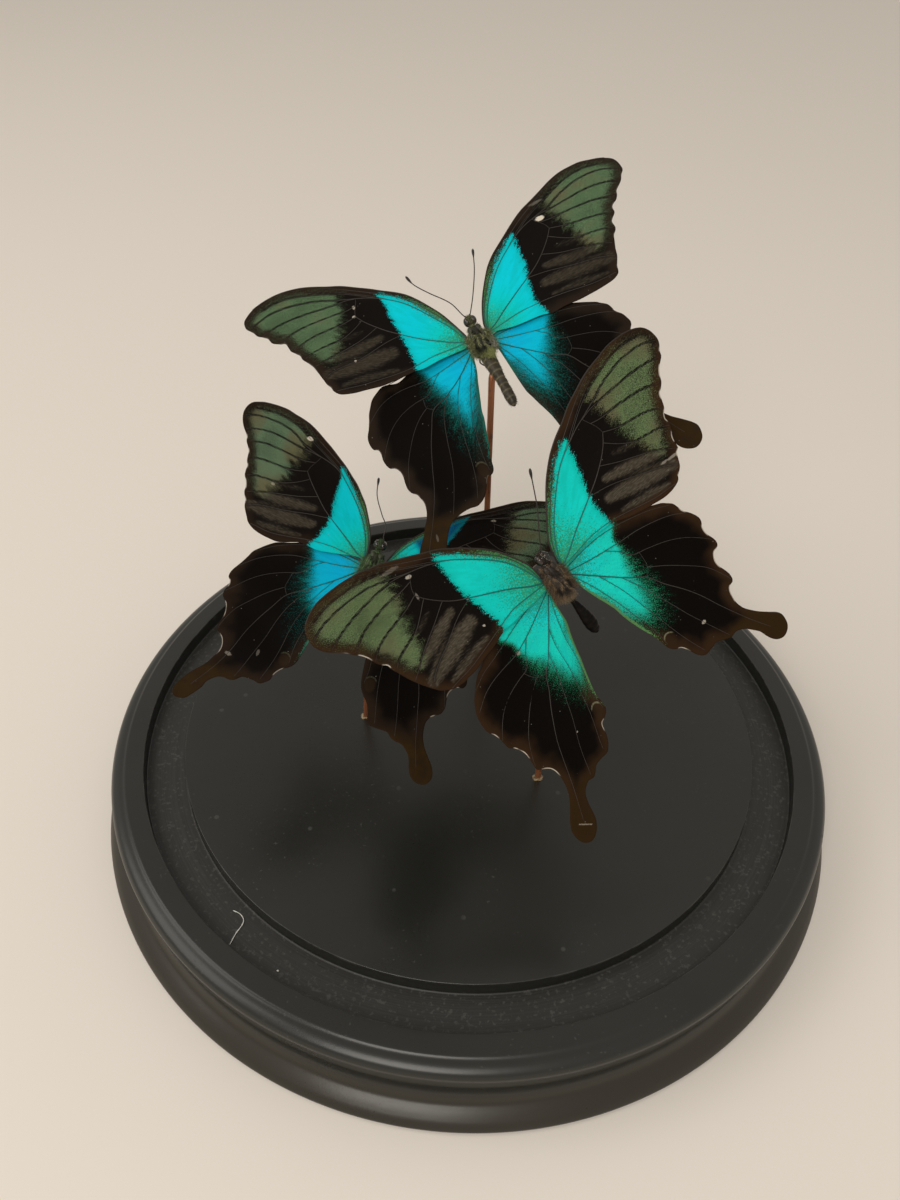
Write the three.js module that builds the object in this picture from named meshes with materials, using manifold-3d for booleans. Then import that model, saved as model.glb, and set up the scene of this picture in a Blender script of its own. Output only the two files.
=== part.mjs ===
// Three mounted swallowtail butterflies on thin rods, on a round turned base.
// Millimetres, +Z up. The origin is the centre of the base's underside.
import * as THREE from 'three';
import { mergeVertices } from 'three/addons/utils/BufferGeometryUtils.js';
import Module from 'manifold-3d';

// ---- driving dimensions ----
const BASE_H = 22;            // underside to top face
const BASE_R = 103.5;         // foot moulding, the widest place
const SEAT_IN_R = 79.8;       // dome seat, inner wall
const SEAT_OUT_R = 90.7;      // dome seat, outer wall
const SEAT_DEPTH = 4.3;       // dome seat depth below the top face
const RIM_R = 99.6;           // shoulder bead of the rim
const ROD_R = 0.8;            // rod radius
const HOLE_R = 1.15;          // drilled hole for a rod
const HOLE_DEPTH = 5;         // depth of that hole
const WING_T = 0.4;           // wing plate thickness
const HINGE_X = 2.2;          // wing hinge, out from the body's middle
const HIND_DROP = 0.9;        // hindwing plate below the forewing plate at the hinge
const GAP = 0.35;             // clearance between neighbours

const deg = Math.PI / 180;

// ---- wing outlines, in each wing's own plane: x out from the hinge, y towards the head ----
const OUTLINE = {
  forewing_left_top: [
    [0.5,-0.9],[0.5,1.4],[1.6,3.7],[3,6.3],[5,9.7],[7.2,12.5],[9.5,15],[12.1,17.4],[14.8,19.2],[17.6,20.7],
    [20.6,22.2],[24.2,23.6],[27.8,25.1],[30.8,26],[34,27],[37.2,27.6],[40.4,27.6],[43.5,27.3],[46.5,26.6],
    [49.2,25.5],[51.2,24.2],[52.7,22.4],[53.1,21.3],[52.8,19.3],[51.9,18.2],[51,17.3],[50.2,16.1],
    [48.7,15.2],[47.8,14.7],[47,13.3],[46,12.7],[44.8,12.3],[43.8,12.2],[43.2,10.9],[42.7,9.6],[41.8,8.7],
    [40.7,7.6],[40.2,6.1],[39.1,4.8],[38.1,3.4],[37.1,1.4],[36.4,-0.3],[35.5,-2.4],[34.7,-3.5],[34.2,-4.8],
    [32.9,-6],[31.2,-6.5],[29.1,-6.8],[26.7,-6.8],[24.2,-6.8],[22.5,-6.7],[19.4,-6],[16.9,-5.3],[14.5,-4.6],
    [11.8,-4.4],[7.9,-3.3],[4.1,-2.5],[1.2,-1.8],],
  forewing_right_top: [
    [0.5,-0.9],[0.5,1.4],[1,3.2],[2.6,6.4],[4.1,8.9],[5.8,11.3],[8,14],[10.4,16.6],[13.2,18.9],[16.1,20.7],
    [18.8,22.2],[22.1,23.9],[25.4,25.4],[28.8,26.5],[32.1,27.6],[35.7,28.6],[38.9,29],[41.8,28.8],
    [44.5,28.4],[46.8,27.3],[48.7,26.2],[50.2,24.9],[51.2,23.7],[51.6,22.1],[51.5,20.2],[51.2,19],
    [50.1,17.9],[49,16.4],[47.6,15.4],[46.5,14.6],[45.8,13.3],[44.9,12.4],[43.7,11.9],[43,11.1],[42.5,9.4],
    [41.3,8.4],[40.5,7.5],[40.1,5.5],[39.7,4.7],[38.6,3.7],[37.7,2.1],[36.6,0],[35.9,-1.7],[35.1,-2.9],
    [34.3,-4.1],[33.7,-5.5],[33.2,-6.1],[31.7,-6.7],[29.3,-6.9],[26.8,-6.9],[24.2,-6.7],[22.4,-6.5],
    [18.7,-5.7],[15.5,-5.4],[12.9,-4.2],[6.4,-2.8],[2.3,-1.2],],
  hindwing_left_top: [
    [0.5,-1],[4,-0.4],[8,-0.2],[12,-0.6],[16,-1.7],[19.5,-3.4],[23.2,-2.9],[25.3,-4.1],[26.8,-5.5],
    [27.7,-7.2],[28.4,-8.9],[28.9,-11.1],[29.5,-12.9],[30.2,-14.6],[30.4,-15.9],[30.2,-17.5],[29.7,-18.5],
    [28.8,-18.9],[28.4,-20.2],[28.4,-21.9],[28,-23.5],[27.3,-24.6],[26.4,-24.9],[25.5,-26],[25,-27.8],
    [25,-29.7],[24.8,-31.7],[24.2,-32.9],[23.2,-33.7],[22.6,-35],[22.2,-36.2],[22.2,-37.9],[22.5,-39.3],
    [23,-40.7],[23.7,-42],[24.4,-43.8],[25.4,-45.5],[26.3,-47],[26.7,-48.3],[26.5,-50.2],[25.9,-51.9],
    [24.7,-53.1],[23.4,-53.6],[22,-53.1],[21.1,-52],[20.6,-50.4],[20.2,-48.3],[19.5,-46.6],[18.7,-44.8],
    [17.5,-43.2],[16.1,-42.4],[14.5,-41.8],[12.7,-41.5],[11,-41.6],[10,-41.2],[9.1,-40.5],[8.2,-39.3],
    [7.4,-37.4],[6.8,-35.8],[6.5,-35.4],[5.8,-35.4],[5.1,-34.9],[4.7,-33.9],[4.6,-32.4],[4.5,-30.8],
    [4.1,-29.3],[3.8,-27.5],[3.6,-25.6],[3.3,-23.5],[2.9,-20.8],[2.8,-18.6],[2.3,-15.9],[1.8,-13.2],
    [1.3,-10.5],[0.8,-8.3],[0.5,-5.8],],
  hindwing_right_top: [
    [0.5,-1],[4,-0.4],[8,-0.2],[12,-0.6],[16,-1.7],[19.5,-3.4],[25.5,-7.1],[26.4,-8.2],[27.4,-9.5],
    [27.8,-10.9],[27.8,-12],[28.1,-12.9],[28.8,-14],[29.2,-15.3],[29.4,-16.6],[29.1,-17.6],[28.5,-18.3],
    [28.1,-19.3],[28,-20.6],[28.3,-22.1],[28.4,-23.4],[28,-24.4],[27.3,-24.7],[26.3,-24.9],[25.7,-25.6],
    [25.1,-26.7],[24.8,-28.2],[25.1,-30],[25.3,-31.6],[24.9,-32.9],[24.4,-33.4],[23.4,-33.6],[22.5,-34.4],
    [21.9,-35.9],[21.7,-37.7],[21.9,-39.8],[22.7,-41.5],[23.8,-43.4],[25.5,-45.4],[26.8,-47.1],[27.4,-48.5],
    [27.2,-50.2],[26.6,-51.6],[25.4,-52.6],[24,-52.9],[22.5,-52.1],[21.6,-50.9],[21.1,-49.2],[20.7,-47.2],
    [19.8,-45.6],[18.9,-44.1],[17.9,-43.3],[16.7,-42.7],[15.9,-42.6],[15.1,-42.7],[14.1,-42.2],[12.6,-41.3],
    [11.5,-40.6],[10.2,-40.7],[9,-40.7],[7.8,-40.7],[6.8,-39.9],[6,-38.6],[5.8,-37.3],[5.4,-36.2],
    [4.7,-34.9],[3.7,-34.1],[2.9,-33.1],[2.5,-31.7],[2.4,-30.1],[2.2,-28],[1.8,-26],[1.3,-23.7],[0.9,-21.2],
    [0.5,-18.7],[0.5,-6.5],[0.5,-5.8],],
  forewing_left_right: [
    [0.5,-0.9],[0.5,1.4],[1.2,4.9],[2.5,7.4],[4,9.5],[5.5,11.5],[7.2,13.2],[9,14.8],[10.9,16.2],[12.8,17.6],
    [14.8,18.8],[16.8,20],[18.9,20.9],[21.1,21.7],[23.3,22.6],[25.4,23.4],[27.5,24.2],[29.7,25],[32,25.5],
    [34.2,26.1],[36.5,26.4],[38.8,26.6],[41.1,26.6],[43.2,26.5],[45.1,26.3],[47,25.7],[48.6,24.9],
    [49.9,23.9],[50.6,22.6],[50.9,21.2],[50.9,19.7],[50.4,18.4],[49.5,17.1],[48.4,16.2],[47.3,15.3],
    [46.2,14.3],[45.2,13.2],[44.1,12.2],[43.3,11.1],[42.9,10.3],[42.4,9.1],[41.6,8],[40.6,7.1],[40.3,5.8],
    [39.7,4.6],[39.1,3.3],[38.6,2.2],[37.9,0.9],[37.1,-0.4],[36.2,-1.7],[35.3,-2.9],[34.3,-4.1],[32.9,-5],
    [31.7,-5.6],[30.2,-5.9],[28.5,-6],[27.5,-5.8],[25.7,-5.7],[23.6,-5.2],[21.3,-4.5],[18.5,-3.9],
    [16.5,-3.2],[14.6,-2.7],[12.2,-2.7],[8.7,-2.4],[4.8,-2.2],[1.1,-1.6],],
  forewing_right_right: [
    [0.5,-0.9],[0.5,1.4],[2.2,6.1],[5.2,9.9],[8,13.2],[10.6,15.8],[13.4,18.1],[16.1,20],[19.1,21.6],
    [22.4,22.9],[25.9,24.5],[29,25.5],[32.1,26.5],[35,27.1],[38.1,27.4],[41,27.7],[43.9,27.4],[46.2,26.9],
    [48.3,26],[49.8,24.8],[50.6,23.3],[50.8,21.8],[50.7,20.6],[50.2,19.5],[49.4,18.6],[48.8,17.5],
    [47.8,16.7],[46.6,15.8],[45.7,14.7],[44.9,13.4],[43.9,12.4],[43,11.8],[42.4,10.3],[41.8,8.9],[41,7.9],
    [40.4,6.7],[40.5,5.7],[39.9,4.1],[38.9,2.6],[38.4,1],[38.1,0],[37.3,-0.5],[36.5,-1.8],[35.7,-3.1],
    [34.8,-4],[34,-4.5],[33.3,-5.3],[31.7,-5.9],[30,-6.1],[28,-5.9],[25.8,-5.3],[23.6,-4.7],[19.5,-3.3],
    [16,-1.6],[12.2,-0.8],[9.1,-0.6],[6,-0.6],[3,-0.7],],
  hindwing_left_right: [
    [0.5,-1],[4,-0.4],[8,-0.2],[12,-0.6],[16,-1.7],[19.5,-3.4],[23.1,-6.5],[24.6,-7.2],[26.3,-8.6],
    [27.7,-10.2],[28.8,-11.6],[29.6,-13.2],[30.1,-14.6],[30.3,-16.3],[30.3,-17.9],[30,-19.2],[29.3,-20.2],
    [28.8,-21.7],[28.5,-23.3],[28.1,-24.8],[27,-25.7],[26.2,-27],[25.7,-28],[25.5,-29.4],[25.5,-31.2],
    [25.5,-32.7],[25,-33.3],[23.8,-33.9],[22.7,-34.8],[22.1,-36.1],[21.9,-37.9],[22,-39.9],[22.4,-41.9],
    [23.2,-43.7],[24.2,-45.3],[25.3,-46.7],[26.1,-48],[26.7,-49.4],[26.7,-51.1],[26.1,-52.9],[25.1,-54],
    [23.8,-54.5],[22.5,-54.1],[21.3,-53],[20.3,-51.4],[19.9,-49.8],[19.7,-48],[19.4,-46.3],[18.9,-44.8],
    [17.9,-43.7],[16.7,-43],[15.2,-43.2],[14.1,-42.4],[13.1,-41.4],[11.5,-41],[10.1,-40.9],[9.1,-40.7],
    [8,-39.6],[7.1,-37.9],[6.8,-36.3],[6.4,-34.6],[5.4,-34],[4.3,-33.2],[3.7,-32],[3.7,-30.5],[3.8,-29.1],
    [3.7,-26.8],[3.3,-24.7],[2.9,-22.3],[2.4,-19.8],[1.9,-16.9],[1.2,-13.7],[0.5,-10.7],[0.5,-8.1],
    [0.5,-5.8],],
  hindwing_right_right: [
    [0.5,-1],[4,-0.4],[8,-0.2],[12,-0.6],[16,-1.7],[19.5,-3.4],[26.7,-7.9],[27.6,-8.9],[28.6,-10.2],
    [28.9,-11.6],[29,-12.7],[29.3,-13.5],[29.9,-14.6],[30.4,-15.9],[30.6,-17.1],[30.3,-18.1],[29.7,-18.8],
    [29.3,-19.8],[29.2,-21.1],[29.5,-22.6],[29.6,-23.9],[29.2,-24.9],[28.5,-25.2],[27.6,-25.3],[26.9,-26],
    [26.3,-27.1],[26.1,-28.6],[26.4,-30.3],[26.5,-32],[26.1,-33.3],[25.7,-33.7],[24.6,-33.9],[23.8,-34.7],
    [23.2,-36.2],[22.9,-37.9],[23.2,-40],[24,-41.7],[25.1,-43.5],[26.7,-45.5],[28.1,-47.2],[28.6,-48.5],
    [28.4,-50.2],[27.8,-51.6],[26.6,-52.6],[25.2,-52.9],[23.8,-52.2],[22.9,-50.9],[22.4,-49.3],[22,-47.3],
    [21.1,-45.7],[20.2,-44.3],[19.2,-43.4],[18.1,-42.8],[17.2,-42.8],[16.5,-42.9],[15.5,-42.4],[14.1,-41.5],
    [13,-40.8],[11.7,-40.9],[10.5,-40.9],[9.3,-40.9],[8.3,-40.1],[7.6,-38.8],[7.3,-37.6],[7,-36.5],
    [6.3,-35.1],[5.3,-34.4],[4.5,-33.4],[4.1,-32.1],[4,-30.4],[3.8,-28.4],[3.4,-26.5],[2.9,-24.1],
    [2.5,-21.7],[2.2,-19.2],[2.1,-16.5],[1.7,-14.1],[1.2,-11.8],[0.8,-9.5],[0.5,-7.3],[0.5,-5.8],],
  forewing_left_left: [
    [0.5,-0.9],[0.5,1.4],[1.8,4.9],[2.9,7],[4.5,9.2],[6.3,11.3],[8.2,13.4],[10.5,15.3],[12.8,17.1],
    [15.3,18.5],[18.1,20.1],[20.8,21.4],[23.9,22.9],[26.9,24.1],[29.8,25.2],[32.5,26],[35.1,26.4],
    [37.5,26.6],[39.9,26.9],[42.4,26.7],[44.8,26.2],[46.7,25.6],[48.1,24.8],[49.1,24],[49.7,22.8],
    [49.8,21.4],[49.5,19.9],[48.7,18.3],[47.5,16.8],[46.1,15.6],[45,14.6],[44.2,13.3],[43.2,12.3],
    [42.2,11.2],[41.6,9.9],[41,8.6],[40.2,7.5],[39.8,6.1],[39.2,4.8],[38.2,3.7],[37.3,2.3],[36.8,0.9],
    [36,-0.2],[35.3,-0.9],[34.5,-2.5],[33.4,-3.8],[32.4,-4.8],[31.4,-5.8],[30,-6.5],[28.3,-6.9],[26.5,-7],
    [24.3,-6.9],[22.3,-6.7],[20.6,-6],[19,-5.1],[17.1,-4.1],[14.8,-3.8],[12,-3.6],[9.1,-2.6],[5.5,-1.2],
    [1.8,0],],
  forewing_right_left: [
    [0.5,-0.9],[0.5,1.4],[1.8,4.9],[2.9,7],[4.5,9.2],[6.3,11.3],[8.2,13.4],[10.5,15.3],[12.8,17.1],
    [15.3,18.5],[18.1,20.1],[20.8,21.4],[23.9,22.9],[26.9,24.1],[29.8,25.2],[32.5,26],[35.1,26.4],
    [37.5,26.6],[39.9,26.9],[42.4,26.7],[44.8,26.2],[46.7,25.6],[48.1,24.8],[49.1,24],[49.7,22.8],
    [49.8,21.4],[49.5,19.9],[48.7,18.3],[47.5,16.8],[46.1,15.6],[45,14.6],[44.2,13.3],[43.2,12.3],
    [42.2,11.2],[41.6,9.9],[41,8.6],[40.2,7.5],[39.8,6.1],[39.2,4.8],[38.2,3.7],[37.3,2.3],[36.8,0.9],
    [36,-0.2],[35.3,-0.9],[34.5,-2.5],[33.4,-3.8],[32.4,-4.8],[31.4,-5.8],[30,-6.5],[28.3,-6.9],[26.5,-7],
    [24.3,-6.9],[22.3,-6.7],[20.6,-6],[19,-5.1],[17.1,-4.1],[14.8,-3.8],[12,-3.6],[9.1,-2.6],[5.5,-1.2],
    [1.8,0],],
  hindwing_left_left: [
    [0.5,-1],[4,-0.4],[8,-0.2],[12,-0.6],[16,-1.7],[19.5,-3.4],[22.7,-4.7],[23.8,-5.5],[25.1,-6.8],
    [26.3,-8.3],[27.2,-9.6],[27.6,-11.1],[28,-12.6],[28.6,-14.4],[29.2,-15.8],[29.5,-17.1],[29.3,-18.2],
    [28.6,-18.8],[28.2,-19.8],[28.3,-20.7],[28.4,-22],[28.1,-23.1],[27.3,-23.9],[26.4,-24.7],[25.7,-26],
    [25.3,-27.5],[25.4,-29.1],[25.4,-30.4],[25.1,-31.4],[24.1,-32.1],[23.1,-32.8],[22.3,-34.1],[22,-35.5],
    [22.2,-36.8],[22.5,-37.9],[23,-39.5],[23.6,-40.8],[24.5,-42.1],[25.5,-43.6],[26.4,-45.4],[27,-47],
    [27.2,-48.5],[26.9,-49.7],[26,-50.4],[24.7,-50.3],[23.5,-49.7],[22.7,-48.5],[21.9,-47.1],[21.2,-45.7],
    [20.9,-44.3],[20.1,-43],[18.8,-41.8],[17.5,-41.4],[16.4,-41.4],[15.1,-40.9],[14.5,-40.2],[13.8,-39.4],
    [12.3,-39.1],[10.8,-39],[9.4,-39.1],[8.2,-38.2],[7.4,-37.2],[7.2,-35.7],[6.7,-34.5],[5.8,-33.3],
    [4.7,-32.4],[3.9,-31.1],[3.6,-29.5],[3.5,-27.9],[3.4,-26.3],[3.4,-25.1],[3,-23.1],[2.7,-21.1],[2.5,-19],
    [2.5,-16.8],[2.2,-14.7],[1.8,-12.8],[1.4,-11],[1,-9.1],[0.8,-7.3],[0.5,-5.8],],
  hindwing_right_left: [
    [0.5,-1],[4,-0.4],[8,-0.2],[12,-0.6],[16,-1.7],[19.5,-3.4],[27.2,-12],[28.1,-13],[28.9,-14.2],
    [29.2,-15.5],[29.2,-16.6],[29.4,-17.4],[30,-18.4],[30.4,-19.6],[30.5,-20.9],[30.2,-21.8],[29.6,-22.5],
    [29.1,-23.4],[29,-24.6],[29.2,-26],[29.3,-27.2],[28.8,-28.2],[28.1,-28.4],[27.2,-28.6],[26.6,-29.2],
    [26,-30.8],[26.1,-32.7],[26.3,-34.5],[25.8,-36.1],[24.7,-36.8],[23.7,-37.7],[23.2,-39.2],[23.3,-41.1],
    [23.7,-43],[24.5,-44.9],[25.6,-46.6],[27,-48.5],[28,-50.2],[28.4,-52.1],[27.8,-53.7],[26.5,-54.3],
    [25.1,-54.1],[23.9,-53.1],[23,-51.4],[22.5,-49.8],[21.8,-48.2],[20.7,-47],[19.6,-46.2],[18.1,-46],
    [16.8,-45.3],[15.8,-44.3],[14.3,-44],[12.9,-43.9],[11.3,-43.5],[10.4,-42.2],[9.8,-40.2],[8.9,-38.3],
    [7.8,-37],[6.5,-35.1],[5.7,-32.6],[5.2,-29.9],[4.8,-27.3],[4.5,-25],[4.2,-22.6],[4.1,-20.1],[3.7,-17.7],
    [3.2,-15.5],[2.8,-13.3],[2.3,-11.1],[1.9,-9],[0.5,-5.8],],
};

// ---- butterflies: place of the thorax, size against the others, body axes, wing angles in degrees ----
const FLY = {
  top: {
    at: [-2.01, 29.01, 125.10], size: 1.000,
    across: [0.8893, 0.2984, 0.3467], head: [-0.4180, 0.8378, 0.3512], back: [-0.1857, -0.4572, 0.8697],
    left: { raise: 4.35, sweep: 10.33, twist: 1.54, hindRaise: -1.33, hindSweep: 5.99 },
    right: { raise: 2.79, sweep: 7.79, twist: -0.48, hindRaise: 2.07, hindSweep: 4.48 },
  },
  right: {
    at: [16.53, -25.95, 98.21], size: 0.965,
    across: [0.6851, 0.6254, 0.3735], head: [-0.6333, 0.2581, 0.7295], back: [0.3598, -0.7364, 0.5729],
    left: { raise: 7.75, sweep: 6.58, twist: -2.76, hindRaise: 5.59, hindSweep: 6.98 },
    right: { raise: 7.76, sweep: 5.21, twist: -3.28, hindRaise: 8.02, hindSweep: 8.15 },
  },
  left: {
    at: [-25.45, 1.10, 76.53], size: 1.000,
    across: [0.9568, -0.2593, -0.1313], head: [0.2905, 0.8418, 0.4548], back: [-0.0074, -0.4734, 0.8808],
    left: { raise: 3.86, sweep: 9.18, twist: -0.66, hindRaise: 3.29, hindSweep: 4.79 },
    right: { raise: 13.54, sweep: 11.91, twist: -17.40, hindRaise: 3.42, hindSweep: 4.34 },
  },
};

// ---- bodies: points in each butterfly's own axes ----
const BODY = {
  top: { head: [0, 4.6, 0.5], headR: 1.55, chest: [0, -1.5, -0.2], waist: [-0.1, -6.2, -0.7], tip: [0.43, -20.6, -2.0] },
  right: { head: [0.1, 4.5, 0.5], headR: 1.65, chest: [0, -1.4, -0.2], waist: [0.1, -6.0, -0.7], tip: [0.88, -18.2, -2.0] },
  left: { head: [-0.3, 4.9, 0.5], headR: 1.6, chest: [0, -1.3, -0.2], waist: [0, -6.0, -0.7], tip: [0, -18.6, -2.4] },
};
const CHEST = [1.95, 5.2, 2.35];      // half sizes of the thorax

// ---- antennae: points in each butterfly's own axes ----
const ANTENNA = {
  antenna_left_top: [[-0.9, 6.5, 1.3], [-2.4, 10.9, 2.1], [-6.0, 16.0, 2.7], [-8.4, 19.7, 3.3], [-9.3, 22.5, 3.9]],
  antenna_right_top: [[1.0, 6.5, 1.3], [3.3, 10.1, 2.2], [6.5, 16.5, 3.0], [8.3, 21.5, 3.8]],
  antenna_right_right: [[0.9, 6.6, 1.3], [4.0, 12.0, 2.3], [5.6, 14.9, 3.0], [9.1, 22.4, 3.8]],
  antenna_left_left: [[-0.2, 7.1, 1.3], [-0.6, 9.9, 2.1], [-2.4, 12.1, 2.7], [-5.5, 16.7, 3.3], [-6.7, 21.1, 3.9]],
};
const ANTENNA_R = 0.22;

// ---- rods: foot on the top face and upper end under the thorax ----
const ROD = {
  top: { foot: [3.2, 27.0], end: [1.76, 21.1, 118.1] },
  right: { foot: [19.45, -20.55], end: [17.37, -24.6, 93.9] },
  left: { foot: [-29.48, -1.67], end: [-26.3, -0.05, 72.5] },
};

// ---- materials ----
const paint = () => new THREE.MeshStandardMaterial({ color: 0x17191a, roughness: 0.38, metalness: 0 });
const copper = () => new THREE.MeshStandardMaterial({ color: 0x8a4a2a, roughness: 0.35, metalness: 1 });
const chitin = () => new THREE.MeshStandardMaterial({ color: 0x2a281c, roughness: 0.8, metalness: 0 });
const foreMat = () => new THREE.MeshStandardMaterial({ color: 0x0fb8c4, roughness: 0.55, metalness: 0 });
const hindMat = () => new THREE.MeshStandardMaterial({ color: 0x1b120c, roughness: 0.6, metalness: 0 });

const V = (a) => new THREE.Vector3(a[0], a[1], a[2]);
const named = (geometry, material, name) => {
  const m = new THREE.Mesh(geometry, material);
  m.name = name;
  return m;
};

// closed solids in and out of manifold-3d
const wasm = await Module();
wasm.setup();
const solid = (geometry) => {
  const g = geometry.clone();
  g.deleteAttribute('normal');
  g.deleteAttribute('uv');
  const m = mergeVertices(g, 1e-4);
  return new wasm.Manifold(new wasm.Mesh({
    numProp: 3,
    vertProperties: new Float32Array(m.attributes.position.array),
    triVerts: new Uint32Array(m.index.array),
  }));
};
const toGeometry = (s) => {
  const m = s.getMesh();
  const g = new THREE.BufferGeometry();
  g.setAttribute('position', new THREE.BufferAttribute(new Float32Array(m.vertProperties), 3));
  g.setIndex(new THREE.BufferAttribute(new Uint32Array(m.triVerts), 1));
  g.computeVertexNormals();
  return g;
};

const root = new THREE.Group();

// ---- base: one turned disc with the dome seat cut in its top ----
const profile = [
  [0, 0], [BASE_R - 0.9, 0], [BASE_R, 0.9], [BASE_R, 1.8], [BASE_R - 0.9, 3.0], [101.0, 4.3], [99.0, 5.7],
  [98.0, 7.8], [97.8, 10.0], [98.3, 12.6], [99.0, 14.2], [99.2, 17.4], [RIM_R, 18.1], [RIM_R + 0.1, 19.2],
  [99.0, 20.5], [97.6, 21.3], [96.2, 21.6], [95.6, BASE_H], [SEAT_OUT_R, BASE_H], [SEAT_OUT_R, BASE_H - SEAT_DEPTH],
  [SEAT_IN_R, BASE_H - SEAT_DEPTH], [SEAT_IN_R, BASE_H], [0, BASE_H],
];
const lathe = new THREE.LatheGeometry(profile.map(([r, z]) => new THREE.Vector2(r, z)), 72);
lathe.rotateX(Math.PI / 2);
let base = solid(lathe);
const UP = new THREE.Vector3(0, 1, 0);
for (const r of Object.values(ROD)) {
  const foot = new THREE.Vector3(r.foot[0], r.foot[1], BASE_H);
  const dir = V(r.end).sub(foot).normalize();
  const hole = new THREE.CylinderGeometry(HOLE_R, HOLE_R, HOLE_DEPTH * 2, 12);
  hole.applyQuaternion(new THREE.Quaternion().setFromUnitVectors(UP, dir));
  hole.translate(foot.x, foot.y, foot.z);
  base = base.subtract(solid(hole));
}
root.add(named(toGeometry(base), paint(), 'base'));

// ---- rods ----
for (const [key, r] of Object.entries(ROD)) {
  const foot = new THREE.Vector3(r.foot[0], r.foot[1], BASE_H);
  const end = V(r.end);
  const dir = end.clone().sub(foot).normalize();
  const low = foot.clone().addScaledVector(dir, -(HOLE_DEPTH - GAP));
  const len = end.distanceTo(low);
  const rod = named(new THREE.CylinderGeometry(ROD_R, ROD_R, len, 12), copper(), 'rod_' + key);
  rod.quaternion.setFromUnitVectors(UP, dir);
  rod.position.copy(low.add(end).multiplyScalar(0.5));
  root.add(rod);
}

// ---- body: head, thorax and abdomen grown as one piece ----
const ellipsoid = (c, h, w, s) => {
  const g = new THREE.SphereGeometry(1, w, s);
  g.scale(h[0], h[1], h[2]);
  g.translate(c[0], c[1], c[2]);
  return solid(g);
};
const bodyOf = (b) => {
  const chest = ellipsoid(b.chest, CHEST, 14, 10);
  const head = ellipsoid(b.head, [b.headR, b.headR * 1.05, b.headR], 12, 8);
  const waist = V(b.waist), tip = V(b.tip);
  const L = waist.distanceTo(tip);
  const p = [[0, -1.2], [1.0, -0.6], [1.15, 0.8], [1.25, L * 0.25], [1.6, L * 0.5], [1.68, L * 0.68], [1.3, L * 0.86], [0.7, L * 0.97], [0, L]];
  const g = new THREE.LatheGeometry(p.map(([r, y]) => new THREE.Vector2(r, y)), 12);
  g.applyQuaternion(new THREE.Quaternion().setFromUnitVectors(UP, tip.clone().sub(waist).normalize()));
  g.translate(waist.x, waist.y, waist.z);
  return toGeometry(chest.add(head).add(solid(g)));
};

// ---- wings: thin plates of each outline ----
const plate = (outline, side) => {
  const s = new THREE.Shape(outline.map(([x, y]) => new THREE.Vector2(side * x, y)));
  const g = new THREE.ExtrudeGeometry(s, { depth: WING_T, bevelEnabled: false, curveSegments: 1 });
  g.translate(0, 0, -WING_T / 2);
  return g;
};

for (const [key, f] of Object.entries(FLY)) {
  const fly = new THREE.Group();
  const m = new THREE.Matrix4().makeBasis(V(f.across), V(f.head), V(f.back));
  fly.quaternion.setFromRotationMatrix(m);
  fly.position.copy(V(f.at));
  fly.scale.setScalar(f.size);
  fly.add(named(bodyOf(BODY[key]), chitin(), 'body_' + key));
  for (const [sideName, side] of [['left', -1], ['right', 1]]) {
    const w = f[sideName];
    const add = (kind, up, sweep, drop, material) => {
      const name = kind + '_' + sideName + '_' + key;
      const holder = new THREE.Group();
      holder.position.set(side * HINGE_X, 0, 0);
      holder.rotation.set(w.twist * deg, -side * up * deg, side * sweep * deg, 'YXZ');
      const mesh = named(plate(OUTLINE[name], side), material, name);
      mesh.position.z = -drop;
      holder.add(mesh);
      fly.add(holder);
    };
    add('forewing', w.raise, w.sweep, 0, foreMat());
    add('hindwing', w.hindRaise, w.hindSweep, HIND_DROP, hindMat());
  }
  for (const [name, pts] of Object.entries(ANTENNA)) {
    if (!name.endsWith('_' + key)) continue;
    const curve = new THREE.CatmullRomCurve3(pts.map(V));
    const ring = new THREE.Shape();
    for (let i = 0; i < 8; i++) {
      const a = (i * Math.PI) / 4;
      if (i) ring.lineTo(ANTENNA_R * Math.cos(a), ANTENNA_R * Math.sin(a));
      else ring.moveTo(ANTENNA_R, 0);
    }
    const g = new THREE.ExtrudeGeometry(ring, { steps: 12, extrudePath: curve, bevelEnabled: false });
    fly.add(named(g, chitin(), name));
  }
  root.add(fly);
}

export default root;
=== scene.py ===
import bpy
import math
import numpy as np
from mathutils import Vector, Matrix
from mathutils.geometry import delaunay_2d_cdt


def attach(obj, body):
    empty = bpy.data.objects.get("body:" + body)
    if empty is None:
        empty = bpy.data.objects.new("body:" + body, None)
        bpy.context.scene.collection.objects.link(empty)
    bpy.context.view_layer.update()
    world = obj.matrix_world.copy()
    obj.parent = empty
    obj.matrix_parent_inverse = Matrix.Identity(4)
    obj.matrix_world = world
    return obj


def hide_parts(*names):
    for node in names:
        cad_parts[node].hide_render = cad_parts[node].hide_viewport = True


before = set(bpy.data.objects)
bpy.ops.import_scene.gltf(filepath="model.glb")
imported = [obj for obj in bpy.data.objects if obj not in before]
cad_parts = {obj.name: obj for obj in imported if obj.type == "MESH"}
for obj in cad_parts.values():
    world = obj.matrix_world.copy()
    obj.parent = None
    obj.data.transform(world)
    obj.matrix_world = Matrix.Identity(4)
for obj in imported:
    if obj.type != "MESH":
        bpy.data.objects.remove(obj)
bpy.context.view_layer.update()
MM = 0.001

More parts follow.
